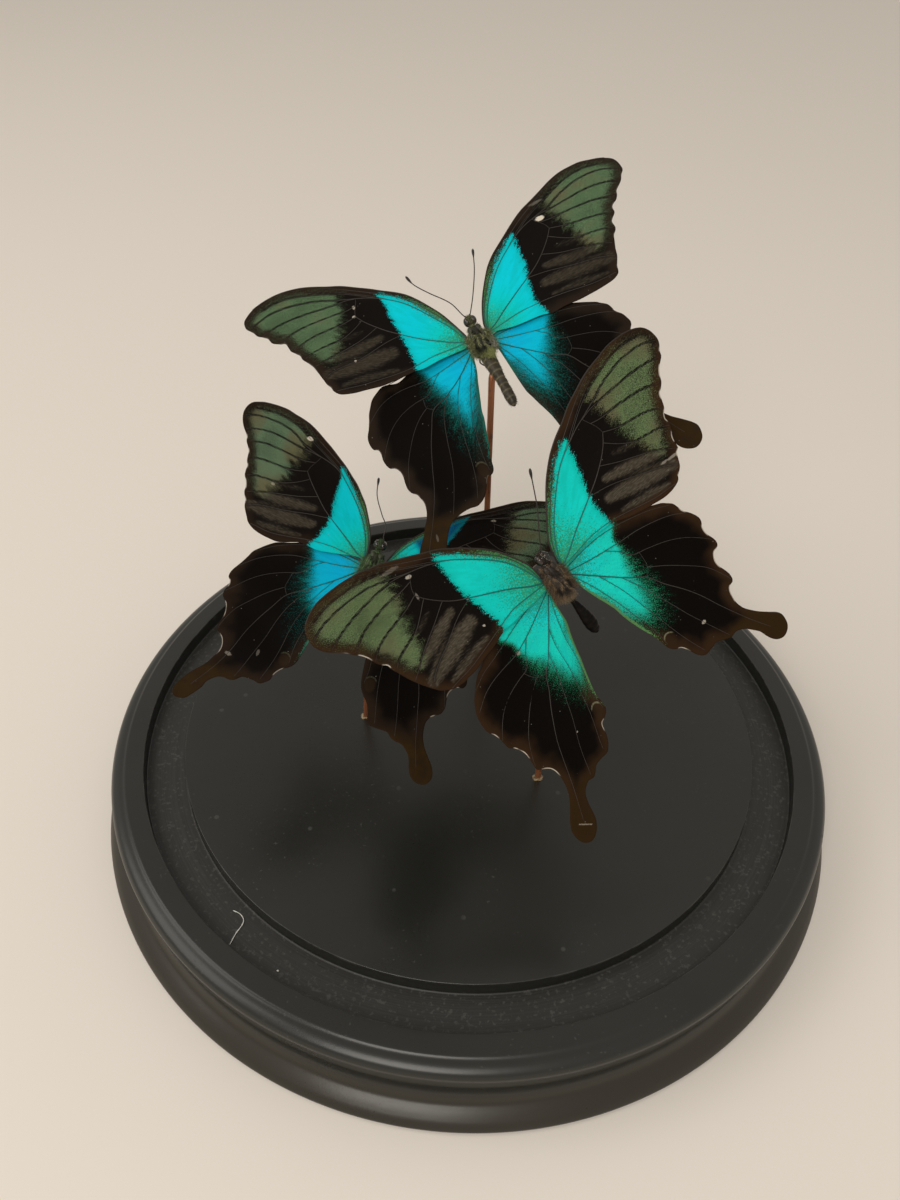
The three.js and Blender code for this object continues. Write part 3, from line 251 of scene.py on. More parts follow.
FW_VEINS = {  # name: (points, thickness in mm at the root and at the tip)
  'costa': ([(0.5, 0.6), (1.0, 3.4), (2.6, 7.0), (5.4, 10.7), (9.3, 14.4), (14, 18.0), (19, 21.0), (25, 23.8), (31, 26.1), (36, 27.3), (41, 27.5), (46, 26.6), (49.6, 24.6)], 0.30, 0.16),
  'subcosta': ([(0.7, 0.4), (1.7, 3.6), (3.9, 7.4), (7.6, 11.7), (12.2, 15.7), (17, 18.9), (22.5, 21.6), (28, 24.0), (33, 26.2)], 0.22, 0.10),
  'radius': ([(0.8, 0.2), (2.4, 3.6), (5.2, 7.6), (9.4, 11.9), (14, 15.5), (18.5, 18.1), (22.6, 19.7), (27, 20.6), (31.4, 21.6), (35, 22.7), (39.6, 23.2), (43.6, 22.9), (47.2, 22.1), (50.6, 20.5)], 0.24, 0.10),
  'r1': ([(15.6, 16.5), (20.4, 19.4), (26, 22.0), (31.6, 24.4), (37, 26.2)], 0.12, 0.07),
  'r2': ([(19.6, 18.6), (25, 21.2), (30, 23.2), (35, 24.7), (40, 25.4), (44.6, 25.0), (48.2, 23.9)], 0.12, 0.07),
  'r5': ([(25.8, 20.3), (29, 20.6), (32.6, 20.4), (37, 20.1), (41.6, 19.4), (46, 18.1), (49.0, 16.7)], 0.13, 0.08),
  'm1': ([(26.6, 18.4), (29.4, 17.6), (33, 17.2), (37, 16.5), (41, 15.5), (45.5, 13.3)], 0.13, 0.08),
  'm2': ([(27.4, 15.2), (30.2, 13.8), (33.4, 12.8), (37, 12.0), (40.3, 10.8), (42.4, 9.1)], 0.13, 0.08),
  'm3': ([(25.8, 13.4), (28.4, 10.8), (31.4, 8.7), (35, 7.6), (38, 6.6), (40.2, 5.1)], 0.13, 0.08),
  'cu1': ([(21.6, 10.2), (25.4, 7.9), (29.4, 6.0), (33.2, 4.1), (36.4, 2.0), (38.0, 1.0)], 0.13, 0.08),
  'cu2': ([(15.4, 6.5), (20.8, 4.9), (27, 2.2), (32, 0.2), (34.6, -1.3), (35.9, -2.6)], 0.13, 0.08),
  'cubitus': ([(0.9, 0.0), (3.6, 0.9), (7.0, 2.6), (10.6, 4.3), (15.4, 6.5), (18.8, 8.2), (22.2, 10.5), (25.4, 13.1), (27.4, 15.2)], 0.26, 0.13),
  'cell_end': ([(27.4, 15.2), (27.2, 16.9), (26.6, 18.4), (25.8, 20.3)], 0.09, 0.09),
  'anal': ([(0.9, -0.4), (5, -0.5), (10, -0.7), (15.6, -1.9), (20.8, -3.4), (26.4, -4.8), (31.6, -5.3), (33.1, -5.5)], 0.18, 0.09)}
HW_VEINS = {
  'costal': ([(0.8, -1.4), (5, -1.6), (10, -2.2), (14.6, -3.4), (19, -5.0), (23.6, -7.0), (27.6, -9.6)], 0.18, 0.08),
  'v1': ([(0.8, -2.2), (5.6, -4.2), (10, -5.8), (14.2, -7.1), (18, -7.9), (22.4, -9.4), (26.2, -11.4), (29.6, -14.2)], 0.18, 0.09),
  'v2': ([(10, -5.8), (12.2, -8.4), (13.8, -11.0), (17.4, -12.5), (21.4, -14.5), (24.8, -17.1), (27.4, -20.2), (28.8, -22.4)], 0.13, 0.08),
  'cell_top': ([(15.4, -11.6), (15.2, -13.4), (14.7, -15.2), (13.0, -16.5)], 0.09, 0.09),
  'v3': ([(14.7, -15.2), (17.7, -18.0), (20.8, -21.7), (23.7, -26.0), (25.4, -31.0), (25.7, -32.6)], 0.13, 0.08),
  'cubitus': ([(0.8, -3.0), (3.6, -6.6), (6.6, -10.2), (9.8, -13.6), (13.0, -16.5), (14.8, -20.8), (16.8, -25.2), (18.4, -29.8), (19.5, -34.4), (20.8, -39), (22.2, -43.4), (24.2, -48.4)], 0.22, 0.08),
  'v5': ([(8.6, -12.4), (10.6, -17.4), (11.9, -23), (13.2, -30), (14.6, -35.6), (16.2, -41.9)], 0.14, 0.08),
  'v6': ([(5.0, -8.4), (6.9, -15), (7.8, -22), (8.2, -29), (8.9, -34.6), (10.0, -39.8)], 0.14, 0.08),
  'anal': ([(0.7, -3.6), (2.4, -9), (3.9, -15.4), (4.8, -22), (5.2, -28.4), (4.9, -32)], 0.14, 0.08)}
# long soft patches of scent scales on the forewing: from, to, half width in mm, strength
FW_WOOL = [((21.0, 6.8), (34.8, 2.6), 1.8, 0.9), ((18.6, 2.6), (34.8, -1.4), 2.5, 1.0), ((18.8, -1.9), (31, -4.4), 1.3, 0.65), ((26, 10.0), (32, 8.0), 1.1, 0.35)]
SPOTS = {  # pale marks on single wings: x, y, half sizes, strength
  # the long faint streak (29.4, 24.1) is a painted highlight, not a pale mark
  'forewing_right_top': [(27.4, 19.4, 1.15, 0.75, 1.0), (29.4, 24.1, 1.9, 0.4, 0.14)],
  'forewing_left_top': [(27.2, 17.9, 0.45, 0.6, 0.45), (27.7, 15.1, 0.5, 0.4, 0.6), (28.2, 1.6, 0.3, 0.3, 0.6)],
  # the long faint streak (29.0, 22.9) is a painted highlight, not a pale mark
  'forewing_left_right': [(26.3, 19.5, 0.75, 0.45, 0.55), (29.0, 22.9, 2.2, 0.55, 0.14), (17.3, 0.3, 0.3, 0.25, 0.6), (26.8, 14.6, 0.3, 0.9, 0.22)],
  'forewing_right_right': [(36.0, 0.2, 1.6, 0.35, 0.30), (33.6, 0.4, 0.9, 0.3, 0.25)],
  'forewing_left_left': [(30.6, 23.4, 0.95, 0.5, 0.8), (33.0, 7.2, 0.5, 0.4, 0.25)],
  'forewing_right_left': [(26.3, 19.5, 0.6, 0.4, 0.4)],
  'hindwing_right_right': [(14.4, -34.6, 0.55, 0.45, 0.5)],
  'hindwing_left_right': [(13.4, -7.2, 0.5, 0.5, 0.3), (13.4, -32.4, 0.22, 0.22, 0.4), *[(24.4 + 0.27 * i, -49.1 + 0.22 * i, 0.24, 0.12, 0.30) for i in range(-5, 5)]],
  'hindwing_left_left': [(20.2, -37.3, 0.9, 0.5, 0.20), (13.2, -33.6, 0.4, 0.9, 0.12)],
  'hindwing_left_top': [(21.4, -46.1, 0.3, 0.9, 0.10)]}
# colours, linear: band near the root, band further out, fading scales, green tip scales
TONE = {
  'top': dict(band=(0.0, 0.55, 0.51), band2=(0.0, 0.57, 0.70), hband=(0.0, 0.42, 0.74), hband2=(0.0, 0.47, 0.68), fade=(0.002, 0.13, 0.105), green=(0.098, 0.166, 0.086), brown=(0.022, 0.014, 0.009)),
  'right': dict(band=(0.004, 0.57, 0.49), band2=(0.004, 0.62, 0.57), hband=(0.006, 0.63, 0.66), hband2=(0.008, 0.63, 0.53), fade=(0.016, 0.23, 0.105), green=(0.118, 0.172, 0.080), brown=(0.036, 0.018, 0.008)),
  'left': dict(band=(0.0, 0.54, 0.50), band2=(0.0, 0.54, 0.64), hband=(0.0, 0.40, 0.72), hband2=(0.0, 0.41, 0.64), fade=(0.0, 0.15, 0.13), green=(0.112, 0.178, 0.105), brown=(0.021, 0.012, 0.007))}


# ---- small geometry helpers ----
def tps(src, dst, soft=0.5):
    src, dst = np.array(src, float), np.array(dst, float)
    n = len(src)
    def u(r2):
        return 0.5 * r2 * np.log(np.maximum(r2, 1e-12))
    k = u(((src[:, None] - src[None]) ** 2).sum(-1)) + soft * np.eye(n)
    p = np.c_[np.ones(n), src]
    w = np.linalg.solve(np.block([[k, p], [p.T, np.zeros((3, 3))]]), np.r_[dst, np.zeros((3, 2))])
    def f(q):
        q = np.asarray(q, float)
        return u(((q[:, None] - src[None]) ** 2).sum(-1)) @ w[:n] + np.c_[np.ones(len(q)), q] @ w[n:]
    return f


def hermite(P, step, closed):
    """A smooth curve through P, with points about step apart."""
    P = np.array(P, float)
    n = len(P)
    if closed:
        nxt, prv = np.roll(P, -1, 0), np.roll(P, 1, 0)
    else:
        nxt = np.r_[P[1:], [2 * P[-1] - P[-2]]]
        prv = np.r_[[2 * P[0] - P[1]], P[:-1]]
    d1 = np.linalg.norm(nxt - P, axis=1)
    d0 = np.linalg.norm(P - prv, axis=1)
    T = (nxt - prv) / (d0 + d1)[:, None]
    out = []
    for i in range(n if closed else n - 1):
        a, b = P[i], P[(i + 1) % n]
        L = np.linalg.norm(b - a)
        k = max(1, int(round(L / step)))
        t = (np.arange(k) / k)[:, None]
        out.append((2 * t**3 - 3 * t**2 + 1) * a + (t**3 - 2 * t**2 + t) * L * T[i] + (3 * t**2 - 2 * t**3) * b + (t**3 - t**2) * L * T[(i + 1) % n])
    if not closed:
        out.append(P[-1:])
    return np.concatenate(out)


def seg_dist(q, P, closed=False):
    """Distance from each q to the polyline P, and how far along P, from 0 to 1, its nearest point is."""
    a = np.asarray(P, float)
    b = np.roll(a, -1, 0) if closed else a[1:]
    a = a if closed else a[:-1]
    ab = b - a
    ll = np.maximum((ab * ab).sum(-1), 1e-12)
    best = np.full(len(q), 1e9)
    arg = np.zeros(len(q))
    for i in range(len(a)):
        t = np.clip(((q - a[i]) @ ab[i]) / ll[i], 0, 1)
        d = np.linalg.norm(q - (a[i] + t[:, None] * ab[i]), axis=1)
        m = d < best
        best[m] = d[m]
        arg[m] = (i + t[m]) / len(a)
    return best, arg


def inside(q, P):
    P = np.asarray(P, float)
    x, y = q[:, 0], q[:, 1]
    r = np.zeros(len(q), bool)
    for (x0, y0), (x1, y1) in zip(P, np.roll(P, -1, 0)):
        if y0 == y1:
            continue
        c = ((y0 > y) != (y1 > y)) & (x < (x1 - x0) * (y - y0) / (y1 - y0) + x0)
        r ^= c
    return r


def signed(q, P):
    P = hermite(P, 1.0, True)
    d, _ = seg_dist(q, P, True)
    return np.where(inside(q, P), d, -d)


def sstep(a, b, x):
    t = np.clip((x - a) / (b - a), 0, 1)
    return t * t * (3 - 2 * t)


def frames(path):
    """Two directions square to a path at each of its points, without twist."""
    T = np.gradient(path, axis=0)
    T /= np.linalg.norm(T, axis=1)[:, None]
    n = np.cross(T[0], [0.123, 0.45, 0.88])
    n /= np.linalg.norm(n)
    N = []
    for t in T:
        n = n - t * (n @ t)
        n /= np.linalg.norm(n)
        N.append(n)
    N = np.array(N)
    return N, np.cross(T, N)


class Parts:
    """Collects vertices, faces, a colour per vertex and a material per face, and makes one mesh of them."""

    def __init__(self):
        self.v, self.f, self.c, self.m, self.n = [], [], [], [], 0

    def add(self, v, f, c=(0.5, 0.5, 0.5), m=0):
        v = np.asarray(v, float)
        c = np.asarray(c, float)
        if c.ndim == 1:
            c = np.tile(c, (len(v), 1))
        self.f += [tuple(int(i) + self.n for i in t) for t in f]
        self.m += [m] * len(f)
        self.v.append(v)
        self.c.append(c)
        self.n += len(v)

    def tube(self, path, rad, sides=8, c=(0.5, 0.5, 0.5), m=0, cap=True):
        path = np.asarray(path, float)
        n = len(path)
        rad = np.broadcast_to(np.asarray(rad, float), (n,))
        N, B = frames(path)
        a = np.arange(sides) * 2 * math.pi / sides
        v = (path[:, None] + rad[:, None, None] * (np.cos(a)[None, :, None] * N[:, None] + np.sin(a)[None, :, None] * B[:, None])).reshape(-1, 3)
        f = [(i * sides + j, i * sides + (j + 1) % sides, (i + 1) * sides + (j + 1) % sides, (i + 1) * sides + j) for i in range(n - 1) for j in range(sides)]
        c = np.asarray(c, float)
        c = np.tile(c, (n * sides, 1)) if c.ndim == 1 else np.repeat(c, sides, 0)
        if cap:
            f.append(tuple(range(sides))[::-1])
            f.append(tuple((n - 1) * sides + j for j in range(sides)))
        self.add(v, f, c, m)

    def ball(self, centre, half, seg=24, rings=16, c=(0.5, 0.5, 0.5), m=0, bump=None):
        th = np.linspace(0, math.pi, rings + 1)[1:-1]
        ph = np.arange(seg) * 2 * math.pi / seg
        u = np.stack([(np.sin(th)[:, None] * np.cos(ph)[None]), np.sin(th)[:, None] * np.sin(ph)[None], np.repeat(np.cos(th)[:, None], seg, 1)], -1).reshape(-1, 3)
        u = np.r_[[[0, 0, 1]], u, [[0, 0, -1]]]
        k = 1 if bump is None else bump(u)[:, None]
        v = np.asarray(centre) + u * k * np.asarray(half)
        f = [(0, 1 + j, 1 + (j + 1) % seg) for j in range(seg)]
        for i in range(rings - 2):
            f += [(1 + i * seg + j, 1 + (i + 1) * seg + j, 1 + (i + 1) * seg + (j + 1) % seg, 1 + i * seg + (j + 1) % seg) for j in range(seg)]
        e = len(v) - 1
        f += [(e, 1 + (rings - 2) * seg + (j + 1) % seg, 1 + (rings - 2) * seg + j) for j in range(seg)]
        self.add(v, f, c, m)

    def hairs(self, root, direction, length, width, c, m=0, droop=0.25, seed=1):
        """Thin three-sided tapering hairs, each bent once."""
        g = np.random.default_rng(seed)
        n = len(root)
        d = direction / np.linalg.norm(direction, axis=1)[:, None]
        s = np.cross(d, g.normal(size=(n, 3)))
        s /= np.linalg.norm(s, axis=1)[:, None]
        t = np.cross(d, s)
        bend = g.normal(size=(n, 3)) * droop
        mid = root + d * (length * 0.55)[:, None]
        tip = root + (d + bend) * length[:, None]
        a = np.arange(3) * 2 * math.pi / 3
        ring = lambda o, w: o[:, None] + w[:, None, None] * (np.cos(a)[None, :, None] * s[:, None] + np.sin(a)[None, :, None] * t[:, None])
        w = width * np.ones(n)
        v = np.concatenate([ring(root, w), ring(mid, w * 0.75), tip[:, None]], 1)
        base = np.arange(n)[:, None] * 7
        pat = [(0, 1, 4, 3), (1, 2, 5, 4), (2, 0, 3, 5)]
        tri = [(3, 4, 6), (4, 5, 6), (5, 3, 6)]
        f = []
        for q in pat + tri:
            f += [tuple(x) for x in (base + np.array(q)[None]).tolist()]
        c = np.broadcast_to(np.asarray(c, float), (n, 3))
        # each hair is darker at the root and lighter at the tip: painted shade at the roots deep in the fur, painted
        # highlight on the tips
        cc = np.concatenate([np.repeat(c[:, None] * 0.45, 3, 1), np.repeat(c[:, None] * 0.9, 3, 1), c[:, None] * 1.25], 1).reshape(-1, 3)
        self.add(v.reshape(-1, 3), f, cc, m)

    def object(self, name, mats, place, smooth=True):
        v = np.concatenate(self.v)
        v = place(v)
        me = bpy.data.meshes.new(name)
        me.from_pydata(v.tolist(), [], self.f)
        for m in mats:
            me.materials.append(m)
        me.polygons.foreach_set('material_index', self.m)
        me.polygons.foreach_set('use_smooth', [smooth] * len(self.f))
        ca = me.attributes.new('vc', 'FLOAT_COLOR', 'POINT')
        ca.data.foreach_set('color', np.c_[np.concatenate(self.c), np.ones(len(v))].ravel())
        me.update()
        o = bpy.data.objects.new(name, me)
        bpy.context.scene.collection.objects.link(o)
        return o


def rot(axis, deg):
    return np.array(Matrix.Rotation(math.radians(deg), 3, axis))


def fly_place(key):
    f = FLY[key]
    M = np.array(f['axes']).T
    at = np.array(f['at'])
    return lambda v: (at + f['size'] * (v @ M.T)) * MM


def wing_place(key, side, hind):
    up, sweep, twist, hup, hsweep = FLY[key]['left' if side < 0 else 'right']
    if hind:
        up, sweep = hup, hsweep
    R = rot('Y', -side * up) @ rot('X', twist) @ rot('Z', side * sweep)
    outer = fly_place(key)
    drop = 0.9 if hind else 0.0
    def f(v):
        w = v * np.array([side, 1, 1]) - np.array([0, 0, drop])
        return outer(w @ R.T + np.array([side * 2.2, 0, 0]))
    return f


# ---- node material helpers ----
class Mat:
    def __init__(self, name):
        self.m = bpy.data.materials.new(name)
        self.m.use_nodes = True
        self.t = self.m.node_tree
        self.t.nodes.clear()
        self.out = self.t.nodes.new('ShaderNodeOutputMaterial')
        self.b = self.t.nodes.new('ShaderNodeBsdfPrincipled')
        self.t.links.new(self.b.outputs[0], self.out.inputs['Surface'])

    def put(self, sock, val):
        if isinstance(val, bpy.types.NodeSocket):
            self.t.links.new(val, sock)
        elif isinstance(val, (tuple, list)):
            sock.default_value = (*val, 1.0) if sock.type == 'RGBA' and len(val) == 3 else val
        else:
            sock.default_value = val

    def set(self, **k):
        for n, v in k.items():
            self.put(self.b.inputs[n.replace('_', ' ')], v)

    def attr(self, name, out='Fac'):
        n = self.t.nodes.new('ShaderNodeAttribute')
        n.attribute_name = name
        return n.outputs[out]

    def math(self, op, a, b=0.0, c=0.0, clamp=False):
        n = self.t.nodes.new('ShaderNodeMath')
        n.operation = op
        n.use_clamp = clamp
        for s, v in zip(n.inputs, (a, b, c)):
            self.put(s, v)
        return n.outputs[0]

    def vmath(self, op, a, b=(0, 0, 0)):
        n = self.t.nodes.new('ShaderNodeVectorMath')
        n.operation = op
        self.put(n.inputs[0], a)
        self.put(n.inputs[1], b)
        return n.outputs['Value' if op in ('LENGTH', 'DISTANCE', 'DOT_PRODUCT') else 'Vector']

    def step(self, a, b, x, lo=0.0, hi=1.0):
        n = self.t.nodes.new('ShaderNodeMapRange')
        n.interpolation_type = 'SMOOTHSTEP'
        for s, v in zip(n.inputs, (x, a, b, lo, hi)):
            self.put(s, v)
        return n.outputs[0]

    def mix(self, fac, a, b, blend='MIX'):
        n = self.t.nodes.new('ShaderNodeMix')
        n.data_type = 'RGBA'
        n.blend_type = blend
        self.put(n.inputs['Factor'], fac)
        cols = [s for s in n.inputs if s.type == 'RGBA']
        self.put(cols[0], a)
        self.put(cols[1], b)
        return [s for s in n.outputs if s.type == 'RGBA'][0]

    def noise(self, vec, scale, detail=2.0, rough=0.5, out='Fac'):
        n = self.t.nodes.new('ShaderNodeTexNoise')
        self.put(n.inputs['Vector'], vec)
        n.inputs['Scale'].default_value = scale
        n.inputs['Detail'].default_value = detail
        n.inputs['Roughness'].default_value = rough
        return n.outputs[out]

    def voronoi(self, vec, scale, feature='F1', out='Distance'):
        n = self.t.nodes.new('ShaderNodeTexVoronoi')
        n.feature = feature
        self.put(n.inputs['Vector'], vec)
        n.inputs['Scale'].default_value = scale
        return n.outputs[out]

    def bump(self, height, strength, dist, normal=None):
        n = self.t.nodes.new('ShaderNodeBump')
        n.inputs['Strength'].default_value = strength
        n.inputs['Distance'].default_value = dist
        self.put(n.inputs['Height'], height)
        if normal is not None:
            self.put(n.inputs['Normal'], normal)
        return n.outputs[0]

    def coords(self, out='Object'):
        return self.t.nodes.new('ShaderNodeTexCoord').outputs[out]


def stipple(M, cover, noise, soft=0.055):
    """1 where a speckle of scales is: cover 0 gives none, 1 gives nearly all."""
    thr = M.math('MULTIPLY_ADD', cover, -0.46, 0.735)
    return M.math('MULTIPLY', M.step(M.math('SUBTRACT', thr, soft), M.math('ADD', thr, soft), noise), M.step(0.0, 0.06, cover))


def near_white(M, base, spots, P, grain):
    for x, y, rx, ry, k in spots:
        d = M.vmath('LENGTH', M.vmath('MULTIPLY', M.vmath('SUBTRACT', P, (x, y, 0)), (1 / rx, 1 / ry, 0)))
        d = M.math('MULTIPLY_ADD', M.math('SUBTRACT', grain, 0.5), 0.9, d)
        base = M.mix(M.math('MULTIPLY', M.step(1.15, 0.75, d), k), base, (0.62, 0.56, 0.47))
    return base


EDGE = {'top': (0.010, 0.10, 0.075), 'right': (0.085, 0.21, 0.075), 'left': (0.015, 0.11, 0.070)}
FRINGE = {'top': 0.12, 'right': 0.75, 'left': 0.45}
WOOL = {'top': 0.9, 'right': 1.6, 'left': 1.15}


def lint(M, col, P, k):
    """Sparse pale dust on the dark scales."""
    d = M.step(0.085, 0.04, M.voronoi(P, 0.62))
    d = M.math('MULTIPLY', d, M.step(0.50, 0.60, M.noise(P, 0.5, 1)))
    return M.mix(M.math('MULTIPLY', d, k), col, (0.34, 0.31, 0.27))


def forewing_skin(name, key):
    t = TONE[key]
    M = Mat(name + '_upper')
    P, S = M.attr('cp', 'Vector'), M.attr('pol', 'Vector')
    de, dv, sT, sG, wool, fr, dl, rr = (M.attr(n) for n in ('de', 'dv', 'sT', 'sG', 'wool', 'fr', 'dl', 'rr'))
    fine, grain, streak, big = M.noise(P, 3.9, 1, 0.5), M.noise(P, 6.5, 1, 0.5), M.noise(S, 1.0, 2, 0.6), M.noise(P, 0.11, 2, 0.5)
    edge = M.step(3.2, 0.3, M.math('MULTIPLY_ADD', M.math('SUBTRACT', big, 0.5), 5.0, de))
    col = M.mix(M.math('MULTIPLY', edge, 0.9), (0.0050, 0.0037, 0.0030), t['brown'])
    col = M.mix(M.math('MULTIPLY', M.step(0.5, 0.75, grain), 0.35), col, (0.016, 0.012, 0.010))
    # scent scales, woolly, combed along the wing
    comb = M.noise(M.vmath('MULTIPLY', P, (0.8, 4.0, 1)), 1.0, 3, 0.6)
    w = M.math('MULTIPLY_ADD', M.math('SUBTRACT', comb, 0.5), M.step(0.0, 0.4, wool, 0.0, 1.1), wool)
    w = M.math('MULTIPLY', M.step(0.05, 0.95, w), M.step(0.1, 0.8, dv, 0.30, 1.0))
    col = M.mix(w, col, M.mix(M.step(0.38, 0.72, comb), tuple(WOOL[key] * x for x in (0.028, 0.023, 0.016)), tuple(WOOL[key] * x for x in (0.056, 0.048, 0.036))))
    # green tip: scales thinning towards its edges, and none on the veins
    cov = M.step(-2.6, 2.4, M.math('MULTIPLY_ADD', M.math('SUBTRACT', streak, 0.5), 5.5, sG))
    cov = M.math('MULTIPLY', cov, M.step(0.06, 0.46, dv, 0.0, 1.0))
    cov = M.math('MULTIPLY', cov, M.step(0.7, 3.6, de, 0.28, 1.0))
    cov = M.math('MULTIPLY', cov, M.step(0.25, 0.6, big, 0.58, 0.80))
    g = M.math('MULTIPLY', stipple(M, cov, M.noise(P, 6.2, 1, 0.5), 0.13), M.step(0.0, 0.10, cov))
    gcol = M.mix(M.step(0.35, 0.7, grain), tuple(0.72 * x for x in t['green']), tuple(1.2 * x for x in t['green']))
    gcol = M.mix(M.step(0.46, 0.70, big), gcol, (0.115, 0.115, 0.062))
    col = M.mix(g, col, gcol)
    # dusting along the front edge near the root
    # blue-green band, its edge broken up by single scales
    s = M.math('MULTIPLY_ADD', M.math('SUBTRACT', streak, 0.5), 2.3, sT)
    cov = M.step(-0.9, 0.9, s)
    band = M.math('MAXIMUM', stipple(M, cov, M.noise(P, 5.4, 1, 0.5), 0.08), M.step(0.7, 1.4, s))
    bcol = M.mix(M.step(6.0, 15.0, rr), t['band'], t['band2'])
    # painted sheen: the deep blue the band shows when seen edge-on is painted in as a fixed colour on this one wing
    if name == 'forewing_right_left':      # seen edge-on the scales turn deep blue towards the tip
        bcol = M.mix(M.step(10.0, 12.5, rr), bcol, (0.0, 0.05, 0.16))
    bcol = M.mix(M.math('MULTIPLY', M.step(0.42, 0.66, M.noise(S, 0.55, 3, 0.6)), 0.35), bcol, tuple(0.72 * x for x in t['band']) if name != 'forewing_right_left' else (0.0, 0.10, 0.24))
    bcol = M.mix(M.math('MULTIPLY', M.step(0.44, 0.62, grain), 0.22), bcol, (0.02, 0.36, 0.34))
    bcol = M.mix(M.step(0.30, 0.10, dv, 0.0, 0.5), bcol, (0.0, 0.16, 0.15))
    bcol = M.mix(M.math('MULTIPLY', M.step(1.8, 0.0, sT), 0.35), bcol, (0.0, 0.34, 0.26))
    col = M.mix(band, col, bcol)
    # yellow-green dust at the root
    front = M.math('MULTIPLY', M.step(3.4, 0.7, dl), M.step(27.0, 11.0, rr))
    front = M.math('MULTIPLY', front, M.step(0.2, 0.5, de, 0.75, 1.0))
    col = M.mix(stipple(M, M.math('MULTIPLY', front, 0.78), fine), col, M.mix(M.step(0.4, 0.62, grain), (0.024, 0.100, 0.040), (0.085, 0.190, 0.060)))
    far = 21.0 if key == 'right' else 15.0
    near = M.math('MAXIMUM', M.step(0.8 * far, 1.5, rr, 0.0, 0.80), M.math('MULTIPLY', M.step(far, 4.0, rr), M.step(0.85, 0.2, dv, 0.0, 0.68)))
    root = stipple(M, near, fine)
    col = M.mix(M.math('MULTIPLY', root, 0.8), col, M.mix(M.step(0.42, 0.66, grain), (0.010, 0.19, 0.095), (0.060, 0.28, 0.090)))
    col = near_white(M, col, SPOTS.get(name, []), P, fine)
    col = lint(M, col, P, 0.45)
    col = M.mix(M.math('MULTIPLY', M.math('MULTIPLY', fr, FRINGE[key]), M.step(0.30, 0.14, de)), col, (0.62, 0.56, 0.48))
    M.set(Base_Color=col, Roughness=M.math('MULTIPLY_ADD', grain, 0.25, 0.50), Specular_IOR_Level=0.035)
    h = M.math('MULTIPLY_ADD', grain, 0.6, M.math('MULTIPLY', streak, 0.7))
    M.set(Normal=M.bump(h, 0.35, 0.00006))
    return M.m


